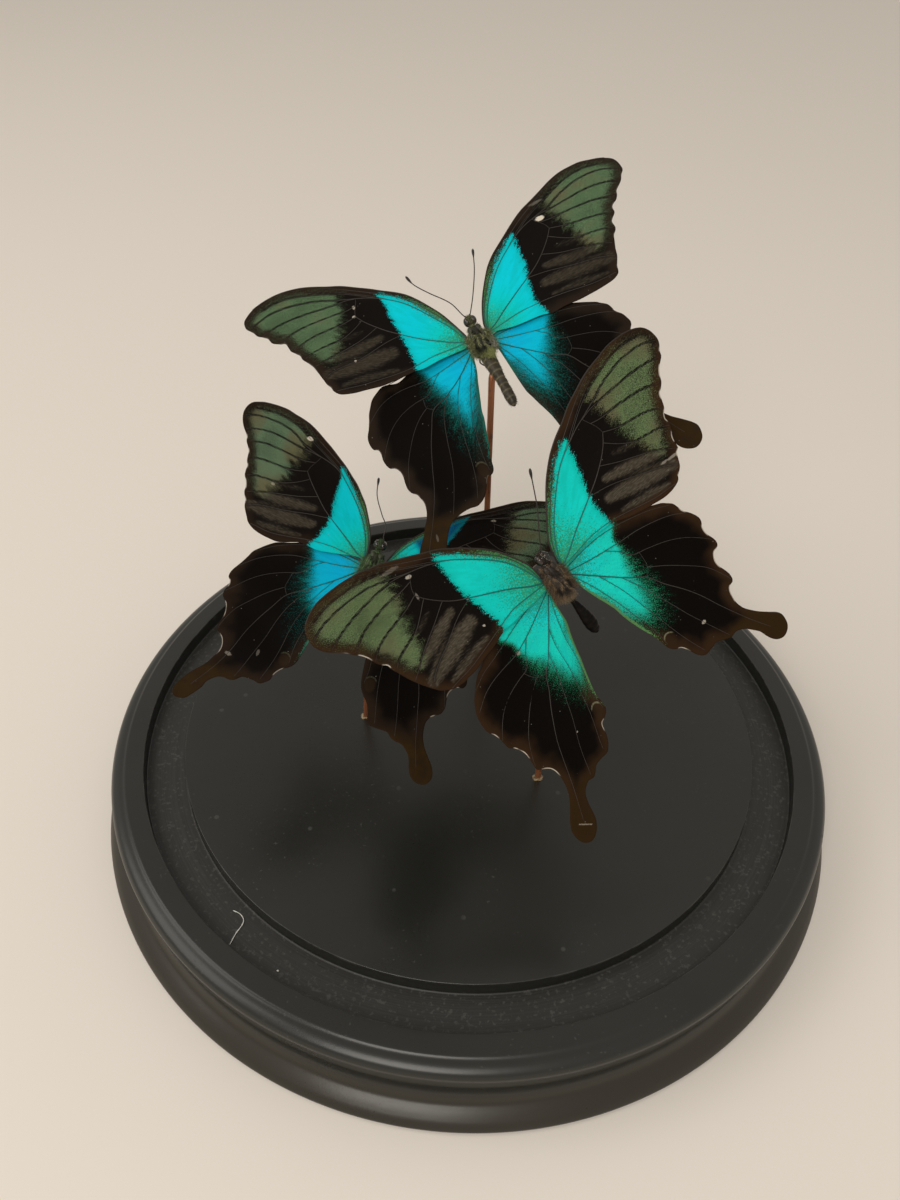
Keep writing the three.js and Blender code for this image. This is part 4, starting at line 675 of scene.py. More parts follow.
def hindwing_skin(name, key):
    t = TONE[key]
    M = Mat(name + '_upper')
    P, S = M.attr('cp', 'Vector'), M.attr('pol', 'Vector')
    de, dv, cov, fr, rr, tail = (M.attr(n) for n in ('de', 'dv', 'sT', 'fr', 'rr', 'wool'))
    fine, grain, streak, big = M.noise(P, 3.9, 1, 0.5), M.noise(P, 6.5, 1, 0.5), M.noise(S, 1.0, 2, 0.6), M.noise(P, 0.13, 2, 0.5)
    edge = M.step(4.0, 0.3, M.math('MULTIPLY_ADD', M.math('SUBTRACT', big, 0.5), 6.0, de))
    edge = M.math('MAXIMUM', M.math('MULTIPLY', edge, 0.8), M.math('MULTIPLY', tail, 0.7))
    col = M.mix(edge, (0.0026, 0.0018, 0.0014), t['brown'])
    col = M.mix(M.math('MULTIPLY', M.math('MULTIPLY', tail, M.step(0.3, 0.65, M.noise(P, 0.35, 2), 0.45, 1.0)), 0.9), col, (0.028, 0.015, 0.004))
    col = M.mix(M.math('MULTIPLY', M.step(0.5, 0.75, grain), 0.22), col, (0.014, 0.010, 0.007))
    c = M.math('MULTIPLY_ADD', M.math('SUBTRACT', streak, 0.5), M.step(0.0, 0.12, cov, 0.0, 0.5), cov)
    tiny = M.noise(P, 6.2, 1, 0.5)
    m = M.math('MAXIMUM', stipple(M, M.step(-0.05, 1.0, c), tiny, 0.10), M.step(0.90, 1.10, c))
    m = M.math('MULTIPLY', m, M.step(0.0, 0.10, cov))
    bcol = M.mix(M.step(5.0, 13.0, rr), t['hband'], t['hband2'])
    bcol = M.mix(M.math('MULTIPLY', M.step(0.42, 0.66, M.noise(S, 0.55, 3, 0.6)), 0.35), bcol, tuple(0.72 * x for x in t['hband']))
    bcol = M.mix(M.step(0.85, 0.30, cov), bcol, t['fade'])
    bcol = M.mix(M.math('MULTIPLY', M.step(0.44, 0.62, grain), 0.22), bcol, (0.02, 0.30, 0.26))
    bcol = M.mix(M.step(0.30, 0.10, dv, 0.0, 0.5), bcol, (0.0, 0.15, 0.15))
    col = M.mix(m, col, bcol)
    dust = M.math('MULTIPLY', M.step(3.6, 2.2, M.attr('dl')), M.step(34.0, 24.0, rr))
    dust = M.math('MULTIPLY', dust, M.step(0.95, 0.25, de))
    # no green edge dust on hindwing_right_left: painted shade, that wing hangs in the shadow of the others
    col = M.mix(stipple(M, M.math('MULTIPLY', dust, 0.85 if name != 'hindwing_right_left' else 0.0), fine), col, EDGE[key])
    reach = 15.0 if key == 'right' else 9.0
    near = M.math('MAXIMUM', M.step(reach, 1.0, rr, 0.0, 0.8), M.math('MULTIPLY', M.step(1.4 * reach, 5.0, rr), M.step(0.8, 0.2, dv, 0.0, 0.6)))
    root = stipple(M, near, fine)
    col = M.mix(M.math('MULTIPLY', root, 0.75), col, M.mix(M.step(0.42, 0.66, grain), (0.008, 0.19, 0.11), (0.050, 0.27, 0.10)))
    # eye spot at the inner corner: a brown disc under a pale arc
    d = M.vmath('LENGTH', M.vmath('MULTIPLY', M.vmath('SUBTRACT', P, (6.4, -31.9, 0)), (1 / 1.5, 1 / 1.9, 0)))
    col = M.mix(M.math('MULTIPLY', M.step(1.15, 0.6, d), 0.45), col, (0.030, 0.017, 0.008))
    n = M.t.nodes.new('ShaderNodeSeparateXYZ')
    M.put(n.inputs[0], P)
    arc = M.math('MULTIPLY', M.step(0.16, 0.05, M.math('ABSOLUTE', M.math('SUBTRACT', d, 1.05))), M.step(-31.2, -30.2, n.outputs[1]))
    arc = M.math('MULTIPLY', arc, M.step(0.35, 0.6, fine, 0.4, 1.0))
    col = M.mix(M.math('MULTIPLY', arc, {'top': 0.2, 'right': 0.6, 'left': 0.15}[key]), col, (0.24, 0.24, 0.15))
    col = near_white(M, col, SPOTS.get(name, []), P, fine)
    col = lint(M, col, P, 0.45)
    col = M.mix(M.math('MULTIPLY', M.math('MULTIPLY', fr, FRINGE[key]), M.step(0.26, 0.12, de)), col, (0.62, 0.55, 0.46))
    M.set(Base_Color=col, Roughness=M.math('MULTIPLY_ADD', grain, 0.25, 0.50), Specular_IOR_Level=0.035)
    h = M.math('MULTIPLY_ADD', grain, 0.6, M.math('MULTIPLY', streak, 0.7))
    M.set(Normal=M.bump(h, 0.35, 0.00006))
    return M.m


def underside_skin(name, hind):
    M = Mat(name + '_lower')
    P = M.attr('cp', 'Vector')
    de, dv, sG, fr = (M.attr(n) for n in ('de', 'dv', 'sG', 'fr'))
    fine, grain, big = M.noise(P, 3.3, 2, 0.6), M.noise(P, 6.5, 1, 0.5), M.noise(P, 0.12, 2, 0.5)
    col = M.mix(M.step(0.35, 0.65, big), (0.017, 0.011, 0.008), (0.036, 0.022, 0.013))
    col = M.mix(M.math('MULTIPLY', M.step(0.45, 0.7, grain), 0.4), col, (0.05, 0.036, 0.022))
    if hind:
        row = M.math('MULTIPLY', M.step(1.0, 0.55, M.math('ABSOLUTE', M.math('SUBTRACT', de, 2.6))), M.step(0.9, 1.6, dv))
        row = M.math('MULTIPLY', row, M.attr('fr2'))
        col = M.mix(M.math('MULTIPLY', stipple(M, M.math('MULTIPLY', row, 0.9), fine), 0.8), col, (0.30, 0.115, 0.035))
        row = M.math('MULTIPLY', M.step(0.9, 0.4, M.math('ABSOLUTE', M.math('SUBTRACT', de, 4.3))), M.step(0.9, 1.6, dv))
        row = M.math('MULTIPLY', row, M.attr('fr2'))
        col = M.mix(stipple(M, M.math('MULTIPLY', row, 0.55), fine), col, (0.07, 0.12, 0.16))
    else:
        cov = M.math('MULTIPLY', M.step(-2.5, 2.0, sG), M.step(0.3, 1.2, dv))
        col = M.mix(stipple(M, M.math('MULTIPLY', cov, 0.7), fine), col, (0.13, 0.105, 0.072))
    col = M.mix(M.math('MULTIPLY', fr, M.step(0.46, 0.16, de)), col, (0.55, 0.49, 0.41))
    M.set(Base_Color=col, Roughness=M.math('MULTIPLY_ADD', grain, 0.2, 0.55), Specular_IOR_Level=0.25)
    M.set(Normal=M.bump(grain, 0.3, 0.00006))
    return M.m


def vein_skin():
    M = Mat('wing_vein')
    P = M.attr('cp', 'Vector')
    c = M.attr('vc', 'Color')
    col = M.mix(M.step(0.4, 0.7, M.noise(P, 5.0, 2)), c, M.mix(0.5, c, (0.012, 0.010, 0.009)))
    M.set(Base_Color=col, Roughness=0.5, Specular_IOR_Level=0.3)
    return M.m


VEIN = vein_skin()


def relief(c, dv, seed):
    r = np.hypot(c[:, 0], c[:, 1])
    k = sstep(3, 18, r)
    z = k * (0.17 * np.sin(0.33 * c[:, 0] + 0.21 * c[:, 1] + seed) + 0.13 * np.sin(0.19 * c[:, 0] - 0.47 * c[:, 1] + 2 * seed))
    z = z - 0.13 * k * (1 - np.exp(-(dv / 1.1) ** 2)) + 0.05 * np.exp(-(dv / 0.4) ** 2) * k
    return z


def build_wing(kind, side_name, key):
    name = '%s_%s_%s' % (kind, side_name, key)
    hind, side = kind == 'hindwing', (-1 if side_name == 'left' else 1)
    seed = {'top': 0.4, 'right': 2.1, 'left': 4.0}[key] + (0.9 if side > 0 else 0)
    pitch = 0.6
    loop = hermite(OUTLINE[name], pitch * 0.68, True)
    area = 0.5 * np.sum(loop[:, 0] * np.roll(loop[:, 1], -1) - np.roll(loop[:, 0], -1) * loop[:, 1])
    if area < 0:
        loop = loop[::-1]
    nb = len(loop)
    tang = np.roll(loop, -1, 0) - np.roll(loop, 1, 0)
    tang /= np.linalg.norm(tang, axis=1)[:, None]
    inward = np.c_[-tang[:, 1], tang[:, 0]]
    ring = loop + inward * 0.3
    dr, _ = seg_dist(ring, loop, True)
    ring = ring[(dr > 0.24) & inside(ring, loop)]
    lo, hi = loop.min(0), loop.max(0)
    gx, gy = np.meshgrid(np.arange(lo[0], hi[0], pitch), np.arange(lo[1], hi[1], pitch * 0.866))
    gx = gx + (np.arange(gx.shape[0]) % 2)[:, None] * pitch / 2
    grid = np.stack([gx.ravel(), gy.ravel()], -1)
    grid = grid[inside(grid, loop)]
    dg, _ = seg_dist(grid, loop, True)
    grid = grid[dg > 0.3 + pitch * 0.55]
    pts = np.r_[loop, ring, grid]
    res = delaunay_2d_cdt([Vector(p) for p in pts], [], [list(range(nb))], 1, 1e-6)
    q = np.array([tuple(v) for v in res[0]])
    tri = [tuple(t) for t in res[2]]
    edges = {}
    for t in tri:
        for a, b in zip(t, t[1:] + t[:1]):
            edges[(a, b)] = 1
    rim = [e for e in edges if (e[1], e[0]) not in edges]
    own, can = MARKS[name]
    warp = len(own) >= 6
    fwd = tps(own, can) if warp else (lambda x: np.asarray(x, float))
    back = tps(can, own) if warp else (lambda x: np.asarray(x, float))
    veins = HW_VEINS if hind else FW_VEINS
    slim = hind and key != 'right'

    def fields(q, c):
        dv = np.full(len(q), 9.0)
        for P, _, _ in veins.values():
            dv = np.minimum(dv, seg_dist(c, hermite(P, 1.0, False))[0])
        de, arg = seg_dist(q, loop, True)
        k = int(round(1.5 / (np.linalg.norm(loop[1] - loop[0]) + 1e-9)))
        k = max(2, min(k, 6))
        mid = 0.5 * (np.roll(loop, k, 0) + np.roll(loop, -k, 0))
        hollow = ((loop - mid) * inward).sum(1)
        hollow = sstep(0.08, 0.26, hollow) if hind else sstep(0.02, 0.12, hollow)
        outer = (loop[:, 0] > 31) & (loop[:, 1] < 21) if not hind else (loop[:, 1] < -11) & (loop[:, 1] > -37.5)
        hollow = np.where(outer, hollow, 0)
        fr = hollow[np.minimum((arg * nb).astype(int), nb - 1)]
        rr = np.hypot(c[:, 0], c[:, 1])
        wool = np.zeros(len(q))
        dl = seg_dist(c, hermite((FW_VEINS['costa'] if not hind else HW_VEINS['anal'])[0], 1.0, False))[0]
        if hind:
            sd = signed(c, HW_BAND_SLIM if slim else HW_BAND)
            y = -c[:, 1]
            soft = (1.2 if not slim else 1.7) + (4.6 if not slim else 4.2) * sstep(*((5, 18) if not slim else (2, 15)), y)
            cov = np.clip(0.5 + sd / (2 * soft), 0, 1.25)
            far = sstep(*((33.0, 16.5) if not slim else (35.5, 13.0)), y)
            cov = cov * (0.08 + 0.92 * far) * (1 - sstep(30, 33, y))
            # band cut short on hindwing_right_left: painted shade, that wing hangs in the shadow of the others
            if name == 'hindwing_right_left':
                cov = cov * (1 - sstep(11, 17, y))
            if name == 'hindwing_left_left':
                cov = cov * (1 - 0.45 * sstep(13, 19, y))
            sT, sG = cov, sd
            wool = sstep(-39.5, -43.5, c[:, 1])
        else:
            sT, sG = signed(c, FW_BAND), signed(c, FW_GREEN)
            for a, b, hw, k in FW_WOOL:
                P = np.array([a, b], float)
                d, t = seg_dist(c, P)
                w = hw * (0.55 + 0.45 * np.sin(math.pi * np.clip(t, 0.03, 0.97)))
                wool = np.maximum(wool, k * sstep(1.45, 0.15, d / w) * (1 - sstep(0.0, 0.6, sT)))
        th = np.arctan2(c[:, 1] + 3.5, c[:, 0] + 5.0)
        rad = np.hypot(c[:, 1] + 3.5, c[:, 0] + 5.0)
        fr2 = sstep(10, 15, -c[:, 1]) * (1 - sstep(36, 41, -c[:, 1])) if hind else np.zeros(len(q))
        return dict(de=de, dv=dv, sT=sT, sG=sG, wool=wool, fr=fr, dl=dl, rr=rr, fr2=fr2,
                    cp=np.c_[c, np.full(len(q), 7.3 * seed)], pol=np.c_[th * 34, rad * 0.32, np.full(len(q), 3.1 * seed)])

    c = fwd(q)
    F = fields(q, c)
    z = relief(c, F['dv'], seed)
    th = 0.055
    n = len(q)
    v = np.r_[np.c_[q, z + th], np.c_[q, z - th]]
    faces = list(tri) + [(a + n, c_ + n, b + n) for a, b, c_ in tri] + [(b, a, a + n, b + n) for a, b in rim]
    mats = [0] * len(tri) + [1] * len(tri) + [0] * len(rim)
    for k in F:
        F[k] = np.concatenate([F[k], F[k]])
    cols = np.tile((0.02, 0.015, 0.012), (2 * n, 1))
    # veins: round ribs through the skin, standing out on both sides
    T = Parts()
    VF = {k: [] for k in F}
    for P, r0, r1 in veins.values():
        cc = hermite(P, 0.6, False)
        qq = back(cc)
        ok = inside(qq, loop) & (seg_dist(qq, loop, True)[0] > 0.12)
        if P is veins.get('costa', (None,))[0] or P is veins.get('costal', (None,))[0]:
            ok = np.ones(len(qq), bool)
            d, arg = seg_dist(qq, loop, True)
            i = np.minimum((arg * nb).astype(int), nb - 1)
            if not hind:
                qq = loop[i] + inward[i] * 0.10
            ok = inside(qq, loop)
        if ok.sum() < 4:
            continue
        s = np.linspace(0, 1, len(qq))[ok]
        cc, qq = cc[ok], qq[ok]
        keep = np.r_[True, np.linalg.norm(np.diff(qq, axis=0), axis=1) > 0.15]
        cc, qq, s = cc[keep], qq[keep], s[keep]
        f = fields(qq, cc)
        path = np.c_[qq, relief(cc, np.zeros(len(qq)), seed)]
        rad = r0 + (r1 - r0) * s ** 0.7
        rad = rad * 0.8
        blk = np.array((0.034, 0.027, 0.022)) if not hind else np.array((0.042, 0.034, 0.028)) * (0.9 if key == 'right' else 0.55)
        if hind:
            m = sstep(0.35, 0.8, f['sT'])[:, None]
            col = blk * (1 - m) + np.array((0.0, 0.105, 0.10)) * m
        else:
            m = sstep(-0.3, 0.5, f['sT'])[:, None]
            g = sstep(-1.0, 0.8, f['sG'])[:, None]
            col = blk * (1 - m) + np.array((0.0, 0.14, 0.13)) * m
            col = col * (1 - g) + np.array((0.010, 0.012, 0.008)) * g
            if P is FW_VEINS['costa'][0] or P is FW_VEINS['subcosta'][0]:
                col = col * 0 + np.array((0.026, 0.018, 0.012)) if P is FW_VEINS['costa'][0] else col
        T.tube(path, rad, 6, col, 2)
        for k in VF:
            VF[k].append(np.repeat(f[k], 6, 0))
    tv = np.concatenate(T.v)
    faces += [tuple(i + 2 * n for i in t) for t in T.f]
    mats += T.m
    cols = np.r_[cols, np.concatenate(T.c)]
    for k in F:
        F[k] = np.concatenate([F[k]] + VF[k])
    v = np.r_[v, tv]
    if side < 0:
        faces = [t[::-1] for t in faces]
    me = bpy.data.meshes.new('wing_' + name)
    me.from_pydata(wing_place(key, side, hind)(v).tolist(), [], faces)
    me.materials.append((hindwing_skin if hind else forewing_skin)(name, key))
    me.materials.append(underside_skin(name, hind))
    me.materials.append(VEIN)
    me.polygons.foreach_set('material_index', mats)
    me.polygons.foreach_set('use_smooth', [True] * len(faces))
    for k, a in F.items():
        if a.ndim == 1:
            x = me.attributes.new(k, 'FLOAT', 'POINT')
            x.data.foreach_set('value', a.astype(np.float32))
        else:
            x = me.attributes.new(k, 'FLOAT_VECTOR', 'POINT')
            x.data.foreach_set('vector', a.astype(np.float32).ravel())
    x = me.attributes.new('vc', 'FLOAT_COLOR', 'POINT')
    x.data.foreach_set('color', np.c_[cols, np.ones(len(cols))].astype(np.float32).ravel())
    me.update()
    o = bpy.data.objects.new('wing_' + name, me)
    bpy.context.scene.collection.objects.link(o)
    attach(o, 'root')
    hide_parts(name)
    return o


for key in ('top', 'right', 'left'):
    for side_name in ('left', 'right'):
        build_wing('forewing', side_name, key)
        build_wing('hindwing', side_name, key)


# ---- bodies, antennae ----
def fur_skin(name):
    M = Mat(name)
    c = M.attr('vc', 'Color')
    n = M.noise(M.coords(), 2600, 1)
    M.set(Base_Color=M.mix(M.step(0.4, 0.7, n), c, M.mix(0.45, c, (0.008, 0.008, 0.006))), Roughness=0.62, Specular_IOR_Level=0.25, Sheen_Weight=0.06)
    return M.m


def shell_skin(name, rough=0.42, spec=0.4):
    """The hard skin under the hair: dark, a little glossy, finely pitted."""
    M = Mat(name)
    c = M.attr('vc', 'Color')
    P = M.coords()
    n, f = M.noise(P, 900, 3), M.noise(P, 4200, 2)
    M.set(Base_Color=M.mix(M.step(0.42, 0.72, n), c, M.mix(0.55, c, (0.010, 0.008, 0.006))), Roughness=M.math('MULTIPLY_ADD', f, 0.3, rough - 0.12), Specular_IOR_Level=spec)
    M.set(Normal=M.bump(M.math('ADD', f, n), 0.5, 0.00005))
    return M.m


def eye_skin():
    M = Mat('eye')
    v = M.voronoi(M.coords(), 9000)
    n = M.noise(M.coords(), 1100, 2)
    M.set(Base_Color=M.mix(M.step(0.4, 0.7, n), (0.008, 0.005, 0.004), (0.028, 0.014, 0.009)), Roughness=0.16, Coat_Weight=0.4, Coat_Roughness=0.08)
    M.set(Normal=M.bump(v, 0.25, 0.00002))
    return M.m


FUR, SHELL, GLOSS, EYE = fur_skin('fur'), shell_skin('shell'), shell_skin('shell_glossy', 0.40, 0.07), eye_skin()

BODY = {
  'top': dict(head=(0, 4.6, .5), r=1.55, waist=(-.1, -6.2, -.7), tip=(.43, -20.6, -2), chest=(0, -1.5, -.2),
              belly=[(0.0, 1.6), (0.12, 1.72), (0.3, 1.48), (0.45, 1.18), (0.62, 1.12), (0.76, 1.24), (0.88, 1.18), (0.95, 0.85), (1.0, 0.3)],
              base=(0.022, 0.022, 0.011), light=(0.42, 0.44, 0.20), dark=(0.012, 0.014, 0.006), tuft=(0.46, 0.50, 0.17), abd=(0.034, 0.026, 0.012), ring=(0.25, 0.22, 0.115)),
  'right': dict(head=(.1, 4.5, .5), r=1.65, waist=(.1, -6, -.7), tip=(.88, -18.2, -2), chest=(0, -1.4, -.2),
              belly=[(0.0, 0.8), (0.12, 0.62), (0.25, 0.72), (0.45, 1.15), (0.65, 1.5), (0.8, 1.58), (0.92, 1.25), (1.0, 0.4)],
              base=(0.018, 0.012, 0.008), light=(0.34, 0.23, 0.125), dark=(0.014, 0.009, 0.005), tuft=(0.34, 0.24, 0.14), abd=(0.0032, 0.0025, 0.0022), ring=(0.008, 0.006, 0.005)),
  'left': dict(head=(-.3, 4.9, .5), r=1.6, waist=(0, -6, -.7), tip=(0, -18.6, -2.4), chest=(0, -1.3, -.2),
              belly=[(0.0, 1.1), (0.12, 1.2), (0.3, 1.15), (0.5, 1.2), (0.7, 1.25), (0.86, 1.1), (0.95, 0.75), (1.0, 0.25)],
              base=(0.026, 0.032, 0.014), light=(0.20, 0.34, 0.13), dark=(0.018, 0.026, 0.010), tuft=(0.26, 0.36, 0.15), abd=(0.026, 0.018, 0.011), ring=(0.080, 0.066, 0.040))}


def build_body(key):
    b = BODY[key]
    g = np.random.default_rng({'top': 11, 'right': 12, 'left': 13}[key])
    head, waist, tip, chest = (np.array(b[k], float) for k in ('head', 'waist', 'tip', 'chest'))
    light, dark, base, tuft = (np.array(b[k]) for k in ('light', 'dark', 'base', 'tuft'))
    few = 1.0
    P = Parts()
    half = np.array((1.9, 5.0, 2.1))

    def lump(u):
        return 1 + 0.05 * np.sin(5 * u[:, 0] + 3 * u[:, 1]) + 0.05 * np.cos(7 * u[:, 1] + 2 * u[:, 2])
    P.ball(chest, half, 40, 30, base, 1, lump)
    # collar plates and shoulder covers
    for s in (-1, 1):
        P.ball(chest + (s * 0.95, 3.3, 1.25), (0.75, 1.0, 0.6), 20, 12, base * 1.3, 1)
        P.ball(chest + (s * 1.25, 1.0, 1.25), (0.62, 1.9, 0.62), 20, 14, base * 1.3, 1)
    # wing roots
    for s in (-1, 1):
        P.ball(chest + (s * 2.05, 0.9, 0.35), (0.80, 1.5, 0.55), 20, 14, base * 1.5, 1)
        P.ball(chest + (s * 1.95, -1.9, -0.25), (0.85, 1.9, 0.60), 20, 14, base * 1.5, 1)
    # head, eyes, palps, coiled tongue
    P.ball(head, (b['r'] * 0.78, b['r'] * 0.80, b['r'] * 0.76), 28, 20, base * 0.5, 1)
    if key == 'right':     # loose white scales on the black head
        for _ in range(26):
            u = g.normal(size=3) * (0.7, 1, 1)
            u[2] = abs(u[2])
            u /= np.linalg.norm(u)
            P.ball(head + u * b['r'] * np.array((0.92, 0.95, 0.92)), (0.09, 0.09, 0.07), 8, 6, (0.5, 0.5, 0.46), 0)
    for s in (-1, 1):
        P.ball(head + (s * b['r'] * 0.50, 0.15, 0.06), (b['r'] * 0.56, b['r'] * 0.76, b['r'] * 0.74), 28, 20, (0.01, 0.01, 0.01), 3)
        P.tube(head + np.array([(s * 0.35, 0.7, -0.7), (s * 0.42, 1.25, -0.55), (s * 0.40, 1.55, -0.10), (s * 0.34, 1.6, 0.25)]), [0.26, 0.30, 0.24, 0.12], 10, base * 1.6, 1)
        P.ball(head + (s * 0.55, 1.15, 0.72), (0.20, 0.20, 0.20), 12, 8, (0.02, 0.016, 0.010), 1)
    a = np.linspace(0, 4.2 * math.pi, 46)
    rr = 0.62 - 0.045 * a / math.pi * 2.6
    P.tube(head + np.c_[0.02 * a / 4, 1.0 + rr * np.cos(a), -1.15 + rr * np.sin(a)], 0.10, 8, (0.020, 0.014, 0.009), 1)
    # legs folded under the chest
    for s in (-1, 1):
        for k, (y0, y1, y2) in enumerate([(2.2, 3.6, 2.4), (0.2, -1.4, 1.4), (-2.0, -4.6, -1.2)]):
            p0 = chest + (s * 0.7, y0, -1.7)
            p1 = chest + (s * 2.0, (y0 + y1) / 2, -2.6)
            p2 = chest + (s * 1.0, y1, -3.1)
            p3 = chest + (s * 0.35, y2, -3.3)
            P.tube(hermite([p0, p1, p2, p3], 0.4, False), np.linspace(0.20, 0.08, len(hermite([p0, p1, p2, p3], 0.4, False))), 8, base * 0.8, 1)
    # abdomen: rings, each a little swollen with a pale hind edge
    start = waist + (head - waist) * 0.06
    n = 96
    s = np.linspace(0, 1, n)
    bend = np.array((0.0, 0.0, 0.0)) + np.c_[0.12 * np.sin(math.pi * s), 0 * s, 0.25 * np.sin(math.pi * s)]
    path = start + (tip - start) * s[:, None] + bend
    xs, ys = zip(*b['belly'])
    rad = np.interp(s, xs, ys)
    ker = np.hanning(9)
    ker /= ker.sum()
    rad = np.convolve(np.pad(rad, 4, 'edge'), ker, 'valid')
    rad[-1] *= 0.5
    seg = (s * 8.0) % 1.0
    rad = rad * (1 + 0.03 * np.sin(math.pi * seg) - 0.03 * np.exp(-((seg - 1) / 0.10) ** 2) - 0.03 * np.exp(-(seg / 0.10) ** 2))
    N = 24
    ph = np.arange(N) * 2 * math.pi / N
    T = (tip - start) / np.linalg.norm(tip - start)
    U = np.cross(T, (0, 0, 1.0))
    U /= np.linalg.norm(U)
    W = np.cross(U, T)
    v = (path[:, None] + rad[:, None, None] * (np.cos(ph)[None, :, None] * U + 0.94 * np.sin(ph)[None, :, None] * W)).reshape(-1, 3)
    f = [(i * N + j, i * N + (j + 1) % N, (i + 1) * N + (j + 1) % N, (i + 1) * N + j) for i in range(n - 1) for j in range(N)]
    f += [tuple(range(N))[::-1], tuple((n - 1) * N + j for j in range(N))]
    pale = 0.6 * np.exp(-((seg - 0.86) / 0.11) ** 2)
    side = 0.4 + 0.6 * np.abs(np.cos(ph))
    c = np.array(b['abd']) + (pale[:, None] * side[None])[..., None] * (np.array(b['ring']) - b['abd'])
    P.add(v, f, c.reshape(-1, 3), 2 if key == 'right' else 1)
    # short velvet on the abdomen
    m = int((260 if key == 'right' else 1500) * few)
    si, pi = g.uniform(0.0, 0.22 if key == 'right' else 0.97, m), g.uniform(0, 2 * math.pi, m)
    k = (si * (n - 1)).astype(int)
    nor = np.cos(pi)[:, None] * U + np.sin(pi)[:, None] * W
    col = c[k, ((pi / (2 * math.pi) * N).astype(int)) % N] * g.uniform(0.7, 1.8, m)[:, None]
    P.hairs(path[k] + nor * rad[k, None] * 0.95, nor * 0.35 + T + g.normal(size=(m, 3)) * 0.12, g.uniform(0.35, 0.7, m), 0.022, col, 0, 0.12, 5)

    # long hair on the chest, laid back, in dark stripes and pale tufts
    m = int(6200 * few)
    u = g.normal(size=(m, 3))
    u /= np.linalg.norm(u, axis=1)[:, None]
    root = chest + u * half * 0.96
    nor = u / half
    nor /= np.linalg.norm(nor, axis=1)[:, None]
    x, y, z = (root - chest).T
    stripe = np.clip(0.5 + 0.75 * np.sin(3.4 * np.abs(x) + 0.5) * np.cos(0.9 * y + 1.3 * np.abs(x)) + 0.25 * np.sin(2.3 * y + 1.9 * x), 0, 1)
    stripe = np.where(np.abs(x) < 0.28, stripe * 0.35, stripe)
    stripe = np.clip(1.9 * (stripe - 0.5) + 0.40 + g.normal(size=m) * 0.14, 0, 1)
    col = dark + stripe[:, None] * (light - dark)
    rear = sstep(-2.6, -4.4, y)
    if key == 'top':
        pale = sstep(0.0, 0.9, x) * rear
        col = col * (1 - 0.8 * pale[:, None]) + tuft * 0.8 * pale[:, None]
        pale = sstep(0.5, -0.7, x) * rear * 0.45
        col = col * (1 - pale[:, None]) + tuft * 0.6 * pale[:, None]
    else:
        col = col * (1 - 0.6 * rear[:, None]) + tuft * 0.6 * rear[:, None]
    if key == 'right':
        bald = (np.abs(x) < 1.15) & (z > 1.0) & (y < 2.2) & (y > -3.2) & (np.sin(2.6 * y + 2.0 * np.abs(x)) > 0.05)
        keep = ~(bald & (g.random(m) < 0.86))
        root, nor, col, x, y, z, rear = (q[keep] for q in (root, nor, col, x, y, z, rear))
        m = len(root)
    # hair under the chest darkened: painted shade
    shaded_underside = z < -0.8
    col = np.where(shaded_underside[:, None], col * 0.6 + dark * 0.4, col)
    out = np.abs(x) / half[0]
    direction = nor * (0.42 + 0.35 * out)[:, None] + np.array((0, -0.85, 0.0)) + g.normal(size=(m, 3)) * 0.20
    length = g.uniform(0.8, 1.45, m) * (1 + 0.35 * sstep(0.6, 1.0, out)) * (1 + 0.25 * rear)
    length = np.where(z > 1.2, length * 0.8, length)
    P.hairs(root, direction, length, 0.033, col * g.uniform(0.75, 1.35, m)[:, None], 0, 0.20, 6)
    # tufts over the wing joints
    for sd in (-1, 1):
        m = int(900 * few)
        t = g.random(m)
        root = np.c_[sd * g.uniform(1.35, 2.5, m), chest[1] + 2.6 - 6.4 * t, g.uniform(-0.1, 0.85, m)]
        direction = np.c_[sd * g.uniform(0.35, 1.0, m), -g.uniform(0.2, 1.1, m), g.uniform(-0.1, 0.42, m)]
        mixc = g.random((m, 1))
        colr = (light * 0.9) * mixc + (dark * 1.6) * (1 - mixc)
        if key == 'left':
            colr = colr * 0.6 + np.array((0.05, 0.12, 0.05)) * 0.4
        P.hairs(root, direction, g.uniform(0.9, 2.1, m), 0.030, colr, 0, 0.22, 7 + sd)
    # crest on the head, fringe round the neck
    m = int(900 * few)
    u = g.normal(size=(m, 3))
    u[:, 2] = np.abs(u[:, 2]) * 0.9 - 0.15
    u[:, 0] *= 0.55
    u /= np.linalg.norm(u, axis=1)[:, None]
    root = head + u * np.array((0.74, 0.78, 0.74)) * b['r']
    keep = np.abs(root[:, 0] - head[0]) < 0.62
    root, u = root[keep], u[keep]
    mm = len(root)
    P.hairs(root, u * 0.6 + np.array((0, 0.45, 0.1)) + g.normal(size=(mm, 3)) * 0.2, g.uniform(0.35, 0.75, mm), 0.028,
            (dark + g.random((mm, 1)) * (light - dark) * 0.7) * (1.0 if key != 'right' else np.where(g.random((mm, 1)) < 0.93, 0.22, 2.6)), 0, 0.2, 9)
    m = int(420 * few)
    a = g.uniform(0, 2 * math.pi, m)
    root = chest + np.c_[1.25 * np.cos(a), np.full(m, 3.7), 0.25 + 1.25 * np.sin(a)]
    P.hairs(root, np.c_[np.cos(a) * 0.6, g.uniform(0.3, 0.9, m), np.sin(a) * 0.6], g.uniform(0.5, 0.95, m), 0.030, dark + g.random((m, 1)) * (light - dark), 0, 0.2, 10)
    if key == 'right':     # a fan of tan down behind the chest
        m = int(700 * few)
        a = g.uniform(0, 2 * math.pi, m)
        root = np.c_[1.05 * np.cos(a), np.full(m, chest[1] - 4.2) + g.uniform(-0.2, 0.6, m), -0.35 + 1.05 * np.sin(a)]
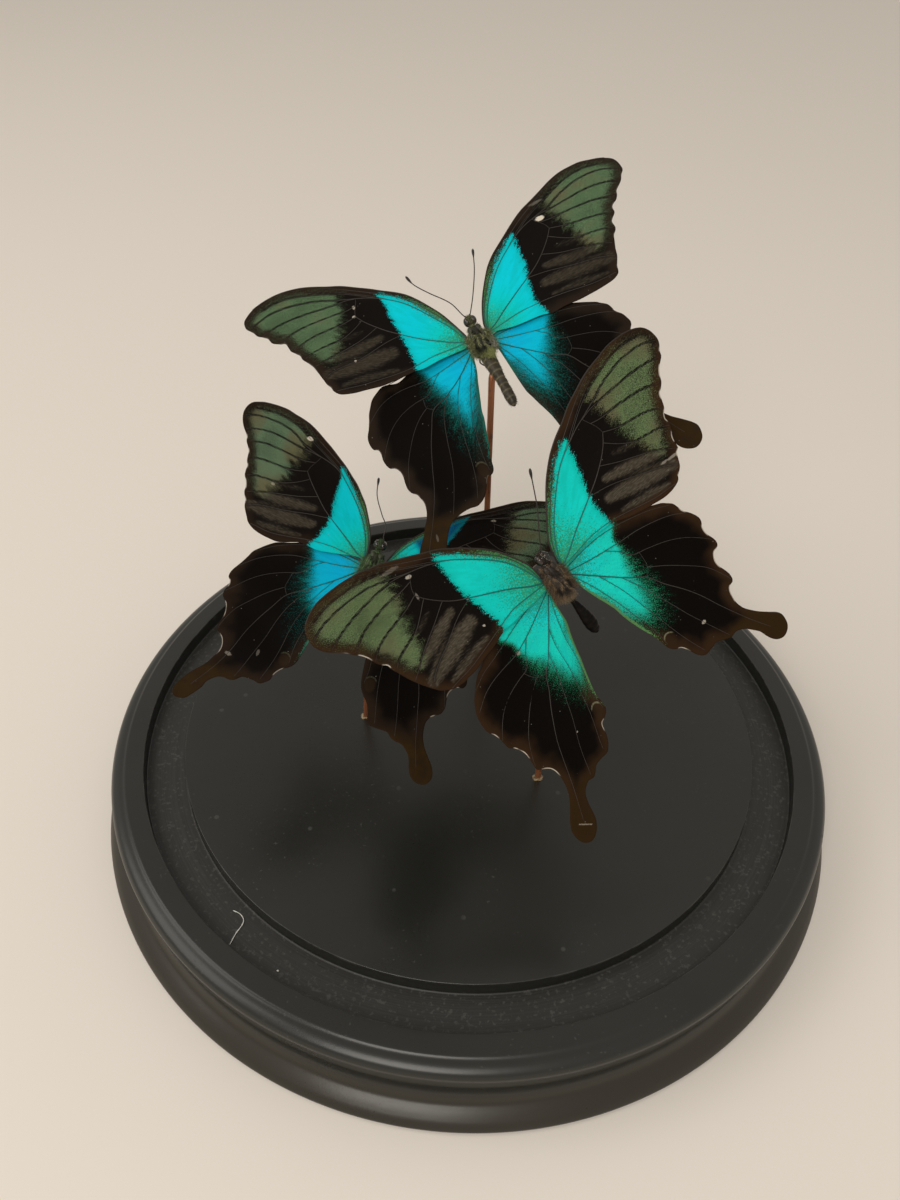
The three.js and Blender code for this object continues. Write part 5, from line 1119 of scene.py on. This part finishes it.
        P.hairs(root, np.c_[np.cos(a) * 0.55, -g.uniform(0.7, 1.2, m), np.sin(a) * 0.5], g.uniform(1.2, 2.2, m), 0.026, tuft * g.uniform(0.45, 1.1, (m, 1)), 0, 0.25, 14)
    if key == 'top':       # pale tuft behind the chest
        m = int(700 * few)
        root = np.array((0.7, chest[1] - 4.3, 1.0)) + g.normal(size=(m, 3)) * (0.55, 0.75, 0.22)
        P.hairs(root, np.c_[g.normal(size=m) * 0.35 + 0.1, -np.ones(m), g.uniform(0.0, 0.4, m)], g.uniform(0.7, 1.5, m), 0.030, tuft * g.uniform(0.5, 1.15, (m, 1)), 0, 0.25, 16)
    if key == 'top':       # a wisp of white fluff caught behind the right hindwing joint
        m = int(150 * few)
        root = np.array((2.3, -4.6, 0.9)) + g.normal(size=(m, 3)) * (0.45, 0.8, 0.25)
        P.hairs(root, g.normal(size=(m, 3)), g.uniform(0.5, 1.2, m), 0.022, (0.62, 0.60, 0.54), 0, 0.5, 15)
    o = P.object('insect_body_' + key, [FUR, SHELL, GLOSS, EYE], fly_place(key))
    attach(o, 'root')
    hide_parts('body_' + key)


for key in ('top', 'right', 'left'):
    build_body(key)

FEELER = {
  'antenna_left_top': ('top', [(-0.9, 6.5, 1.3), (-2.4, 10.9, 2.1), (-6, 16, 2.7), (-8.4, 19.7, 3.3), (-9.3, 22.5, 3.9)]),
  'antenna_right_top': ('top', [(1, 6.5, 1.3), (3.3, 10.1, 2.2), (6.5, 16.5, 3), (8.3, 21.5, 3.8)]),
  'antenna_right_right': ('right', [(0.9, 6.6, 1.3), (4, 12, 2.3), (5.6, 14.9, 3), (9.1, 22.4, 3.8)]),
  'antenna_left_left': ('left', [(-0.2, 7.1, 1.3), (-0.6, 9.9, 2.1), (-2.4, 12.1, 2.7), (-5.5, 16.7, 3.3), (-6.7, 21.1, 3.9)])}
HORN = shell_skin('antenna_horn', 0.40)
for name, (key, pts) in FEELER.items():
    pts = np.array(pts)
    hd = np.array(BODY[key]['head'])
    s0 = hd + (np.sign(pts[0, 0] - hd[0]) * 0.55, 1.25, 0.85)
    curve = hermite(np.r_[[s0], pts], 0.12, False)
    s = np.linspace(0, 1, len(curve))
    joint = 0.5 + 0.5 * np.cos(2 * math.pi * np.arange(len(curve)) / 3.0)
    rad = 0.125 + 0.008 * joint + 0.20 * sstep(0.86, 0.95, s) * (1 - sstep(0.975, 1.0, s) * 0.8)
    rad = rad * (1 + 0.5 * sstep(0.03, 0.0, s))
    c = np.array((0.020, 0.013, 0.009)) * (0.75 + 0.6 * joint)[:, None]
    c = c * (1 - 0.6 * sstep(0.86, 0.92, s)[:, None])
    P = Parts()
    P.tube(curve, rad, 12, c, 0)
    o = P.object('feeler' + name[7:], [HORN], fly_place(key))
    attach(o, 'root')
    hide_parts(name)


# ---- rods ----
def rod_skin():
    M = Mat('copper_rod')
    P = M.coords()
    long = M.noise(M.vmath('MULTIPLY', P, (900, 900, 60)), 1.0, 3)
    spot = M.noise(P, 260, 3, 0.6)
    col = M.mix(M.step(0.35, 0.7, long), (0.33, 0.125, 0.052), (0.20, 0.070, 0.030))
    col = M.mix(M.step(0.55, 0.72, spot), col, (0.10, 0.040, 0.022))
    M.set(Base_Color=col, Metallic=0.45, Roughness=M.math('MULTIPLY_ADD', long, 0.2, 0.30))
    M.set(Normal=M.bump(long, 0.2, 0.00003))
    return M.m


def glue_skin():
    M = Mat('clear_glue')
    n = M.noise(M.coords(), 700, 3)
    M.set(Base_Color=M.mix(M.step(0.4, 0.7, n), (0.20, 0.13, 0.06), (0.52, 0.42, 0.26)), Roughness=0.22, Transmission_Weight=0.35, IOR=1.46)
    M.set(Normal=M.bump(n, 0.4, 0.0001))
    return M.m


ROD, GLUE = rod_skin(), glue_skin()
for key, a, e in (('top', (3.2, 27.0, 22), (1.76, 21.1, 118.1)), ('right', (19.45, -20.55, 22), (17.37, -24.6, 93.9)), ('left', (-29.48, -1.67, 22), (-26.3, -0.05, 72.5))):
    a, e = np.array(a, float), np.array(e, float)
    d = (e - a) / np.linalg.norm(e - a)
    P = Parts()
    s = np.linspace(0, 1, 90)
    L = np.linalg.norm(e - a)
    path = (a - d * 3.5) + (e - a + d * 5.2) * s[:, None]
    rad = 0.8 + 0.006 * np.sin(40 * s) + 0.006 * np.sin(97 * s + 1)
    rad[-1] = 0.6
    P.tube(path, rad, 24, (0.5, 0.5, 0.5), 0)
    # bead of glue round the foot
    N, R = 40, 14
    ph = np.arange(N) * 2 * math.pi / N
    t = np.linspace(0, 1, R)
    v = []
    for i in range(R):
        r = 1.4 - 0.62 * t[i] ** 1.5
        h = 0.02 + 0.75 * (1 - (1 - t[i]) ** 2.2) * 0.8
        w = 1 + 0.10 * np.sin(2 * ph + 1) + 0.06 * np.sin(5 * ph)
        w = 1 + (w - 1) * (1 - t[i])
        v.append(np.c_[a[0] + d[0] * h + r * w * np.cos(ph), a[1] + d[1] * h + r * w * np.sin(ph), np.full(N, 22 - 0.05 + h)])
    v = np.concatenate(v)
    f = [(i * N + j, i * N + (j + 1) % N, (i + 1) * N + (j + 1) % N, (i + 1) * N + j) for i in range(R - 1) for j in range(N)]
    f += [tuple(range(N))[::-1], tuple((R - 1) * N + j for j in range(N))]
    P.add(v, f, (0.5, 0.5, 0.5), 1)
    o = P.object('support_' + key, [ROD, GLUE], lambda v: v * MM)
    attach(o, 'root')
    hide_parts('rod_' + key)


# ---- turned base ----
def base_skin():
    M = Mat('black_lacquer')
    P = M.coords()
    n = M.t.nodes.new('ShaderNodeSeparateXYZ')
    M.put(n.inputs[0], P)
    x, y, z = n.outputs
    r = M.math('SQRT', M.math('ADD', M.math('MULTIPLY', x, x), M.math('MULTIPLY', y, y)))
    n = M.t.nodes.new('ShaderNodeCombineXYZ')
    M.put(n.inputs[0], M.math('MULTIPLY', r, 2600))
    M.put(n.inputs[1], M.math('MULTIPLY', M.math('ARCTAN2', y, x), 1.3))
    ringn = M.noise(n.outputs[0], 1.0, 3, 0.65)
    groove = M.math('MULTIPLY', M.step(0.0797, 0.0800, r), M.step(0.0908, 0.0905, r))
    groove = M.math('MULTIPLY', groove, M.step(0.0176, 0.0180, z, 1.0, 1.0))
    cloud, mid, grain = M.noise(P, 22, 4, 0.6), M.noise(P, 160, 3, 0.55), M.noise(P, 1500, 2, 0.6)
    orange = M.noise(P, 420, 1, 0.5)
    dust = M.math('MULTIPLY', M.step(0.70, 0.76, M.noise(P, 1300, 1)), M.step(0.48, 0.60, M.noise(P, 60, 2)))
    speck = M.math('MULTIPLY', M.step(0.13, 0.07, M.voronoi(P, 160)), M.step(0.55, 0.66, M.noise(P, 75, 1)))
    up = M.step(0.015, 0.0170, z)
    col = M.mix(M.step(0.3, 0.7, cloud), (0.0088, 0.0094, 0.0074), (0.0122, 0.0128, 0.0100))
    gcol = M.mix(M.step(0.35, 0.7, ringn), (0.0135, 0.0138, 0.0118), (0.024, 0.024, 0.021))
    gcol = M.mix(M.step(0.56, 0.70, M.noise(P, 1100, 2)), gcol, (0.050, 0.050, 0.044))
    col = M.mix(M.math('MULTIPLY', groove, M.step(0.25, 0.75, mid, 0.6, 1.0)), col, gcol)
    # brown tone low on the foot and in the hollow under the rim: a painted reflection of a warm brown surface below
    warm_reflection_mask = M.math('MULTIPLY', M.step(0.0085, 0.0060, z), M.step(0.0005, 0.0030, z))
    col = M.mix(M.math('MULTIPLY', warm_reflection_mask, 0.55), col, (0.030, 0.022, 0.011))
    dusty = M.math('MULTIPLY', M.math('MAXIMUM', dust, speck), up)
    col = M.mix(M.math('MULTIPLY', dusty, 0.26), col, (0.10, 0.10, 0.088))
    # wear on the sharp turned edges
    edge = M.math('MAXIMUM', M.step(0.00030, 0.00008, M.math('ABSOLUTE', M.math('SUBTRACT', r, 0.0798))), M.step(0.00030, 0.00008, M.math('ABSOLUTE', M.math('SUBTRACT', r, 0.0907))))
    edge = M.math('MULTIPLY', M.math('MULTIPLY', edge, M.step(0.45, 0.62, mid)), M.step(0.0210, 0.0218, z))
    col = M.mix(M.math('MULTIPLY', edge, 0.5), col, (0.055, 0.053, 0.045))
    rough = M.math('MULTIPLY_ADD', cloud, 0.08, 0.225)
    rough = M.math('MULTIPLY_ADD', grain, 0.05, rough)
    rough = M.math('MULTIPLY_ADD', groove, 0.20, rough)
    rough = M.math('MULTIPLY_ADD', dusty, 0.3, rough)
    M.set(Base_Color=col, Roughness=rough, Specular_IOR_Level=0.5)
    h = M.math('MULTIPLY_ADD', grain, 0.35, M.math('MULTIPLY', orange, 0.5))
    h = M.math('ADD', h, M.math('MULTIPLY', M.math('MULTIPLY', groove, ringn), 1.6))
    h = M.math('ADD', h, M.math('MULTIPLY', mid, 0.8))
    M.set(Normal=M.bump(h, 0.30, 0.00008))
    return M.m


PROFILE = [(0, 0, 0), (102.6, 0, .5), (103.5, .9, .6), (103.5, 1.8, .6), (102.6, 3, .8), (101, 4.3, .8), (99, 5.7, .9), (98, 7.8, 1.0), (97.8, 10, 1.2), (98.3, 12.6, .9),
           (99, 14.2, .25), (99.2, 17.4, .35), (99.6, 18.1, .2), (99.7, 19.2, .5), (99, 20.5, .7), (97.6, 21.3, .7), (96.2, 21.6, .4), (95.6, 22, .35),
           (90.7, 22, .28), (90.7, 17.7, .5), (79.8, 17.7, .6), (79.8, 22, .30), (0, 22, 0)]


def rounded(P, k):
    out = [P[0][:2]]
    for (x0, y0, _), (x1, y1, r), (x2, y2, _) in zip(P, P[1:], P[2:]):
        p0, p1, p2 = np.array((x0, y0)), np.array((x1, y1)), np.array((x2, y2))
        a, b = np.linalg.norm(p0 - p1), np.linalg.norm(p2 - p1)
        ra, rb = min(r, a * 0.48), min(r, b * 0.48)
        q0, q2 = p1 + (p0 - p1) * ra / a, p1 + (p2 - p1) * rb / b
        for t in np.linspace(0, 1, k):
            out.append(tuple((1 - t) ** 2 * q0 + 2 * t * (1 - t) * p1 + t * t * q2))
    out.append(P[-1][:2])
    return out


def build_base():
    prof = rounded(PROFILE, 7)
    dense = [prof[0]]
    for a, b in zip(prof, prof[1:]):
        L = math.hypot(b[0] - a[0], b[1] - a[1])
        k = max(1, int(L / (9.0 if b[0] < 79 or a[0] < 79 else 1.4)))
        for i in range(1, k + 1):
            dense.append((a[0] + (b[0] - a[0]) * i / k, a[1] + (b[1] - a[1]) * i / k))
    ring = dense[1:-1]
    N = 320
    ph = np.arange(N) * 2 * math.pi / N
    v = [[(0, 0, 0)]]
    for r, z in ring:
        v.append(np.c_[r * np.cos(ph), r * np.sin(ph), np.full(N, z)])
    v.append([(0, 0, 22.0)])
    v = np.concatenate([np.array(a, float) for a in v])
    f = [(0, 1 + (j + 1) % N, 1 + j) for j in range(N)]
    for i in range(len(ring) - 1):
        o = 1 + i * N
        f += [(o + j, o + (j + 1) % N, o + N + (j + 1) % N, o + N + j) for j in range(N)]
    o = 1 + (len(ring) - 1) * N
    f += [(o + j, o + (j + 1) % N, len(v) - 1) for j in range(N)]
    P = Parts()
    P.add(v, f)
    o = P.object('turned_base', [base_skin()], lambda v: v * MM)
    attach(o, 'root')
    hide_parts('base')


build_base()


# ---- a white fibre and a crumb of dust lying in the channel ----
def lint_skin():
    M = Mat('white_fibre')
    n = M.noise(M.coords(), 1800, 2)
    M.set(Base_Color=M.mix(n, (0.50, 0.50, 0.46), (0.72, 0.71, 0.66)), Roughness=0.7)
    return M.m


CRUMB = (-41.35, -76.95)
FIBRE = [(-55.0, -62.41), (-53.18, -63.21), (-51.97, -64.67), (-51.98, -65.99), (-53.06, -68.44), (-53.89, -71.25)]
P = Parts()
c = hermite(np.c_[np.array(FIBRE), [17.86, 17.9, 18.0, 17.95, 17.9, 17.84]], 0.25, False)
P.tube(c, np.linspace(0.10, 0.13, len(c)) * (1 + 0.2 * np.sin(np.arange(len(c)) * 0.7)), 8, (0.5, 0.5, 0.5), 0)
P.ball((CRUMB[0], CRUMB[1], 17.85), (0.28, 0.22, 0.16), 14, 10, (0.5, 0.5, 0.5), 0, lambda u: 1 + 0.25 * np.sin(5 * u[:, 0] + 4 * u[:, 1]))
o = P.object('fibre_in_channel', [lint_skin()], lambda v: v * MM)
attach(o, 'root')


# ---- floor, light, camera ----
M = Mat('pale_floor')
n = M.noise(M.coords(), 3.0, 3)
M.set(Base_Color=M.mix(n, (0.765, 0.715, 0.655), (0.785, 0.735, 0.675)), Roughness=0.85, Specular_IOR_Level=0.1)
me = bpy.data.meshes.new('floor')
me.from_pydata([(-4, -4, 0), (4, -4, 0), (4, 4, 0), (-4, 4, 0)], [], [(0, 1, 2, 3)])
me.materials.append(M.m)
floor = bpy.data.objects.new('floor', me)
bpy.context.scene.collection.objects.link(floor)

w = bpy.data.worlds.new('room')
w.use_nodes = True
w.node_tree.nodes['Background'].inputs[0].default_value = (0.86, 0.81, 0.74, 1)
w.node_tree.nodes['Background'].inputs[1].default_value = 0.66
bpy.context.scene.world = w


def lamp(name, at, aim, size, watts, colour):
    d = bpy.data.lights.new(name, 'AREA')
    d.shape = 'SQUARE'
    d.size = size
    d.energy = watts
    d.color = colour
    o = bpy.data.objects.new(name, d)
    o.location = at
    o.rotation_euler = (Vector(aim) - Vector(at)).to_track_quat('-Z', 'Y').to_euler()
    bpy.context.scene.collection.objects.link(o)


lamp('soft_front', (-0.25, -1.05, 1.05), (0, 0, 0.08), 0.7, 8.5, (1.0, 0.95, 0.88))
lamp('soft_left', (-0.95, -0.15, 0.9), (0, 0, 0.05), 0.8, 4.0, (1.0, 0.96, 0.90))

cam = bpy.data.cameras.new('camera')
cam.sensor_fit = 'VERTICAL'
cam.sensor_height = 36
cam.lens = 28.5
cam.clip_start = 0.01
o = bpy.data.objects.new('camera', cam)
o.matrix_world = Matrix(((0.99860019, -0.04641581, 0.02536187, 0.0),
                         (0.04978073, 0.66270736, -0.74722208, -0.182372),
                         (0.01787542, 0.74743864, 0.66409031, 0.228643),
                         (0, 0, 0, 1)))
bpy.context.scene.collection.objects.link(o)
bpy.context.scene.camera = o
bpy.context.scene.view_settings.view_transform = 'Standard'
bpy.context.scene.view_settings.look = 'None'

bpy.context.view_layer.update()
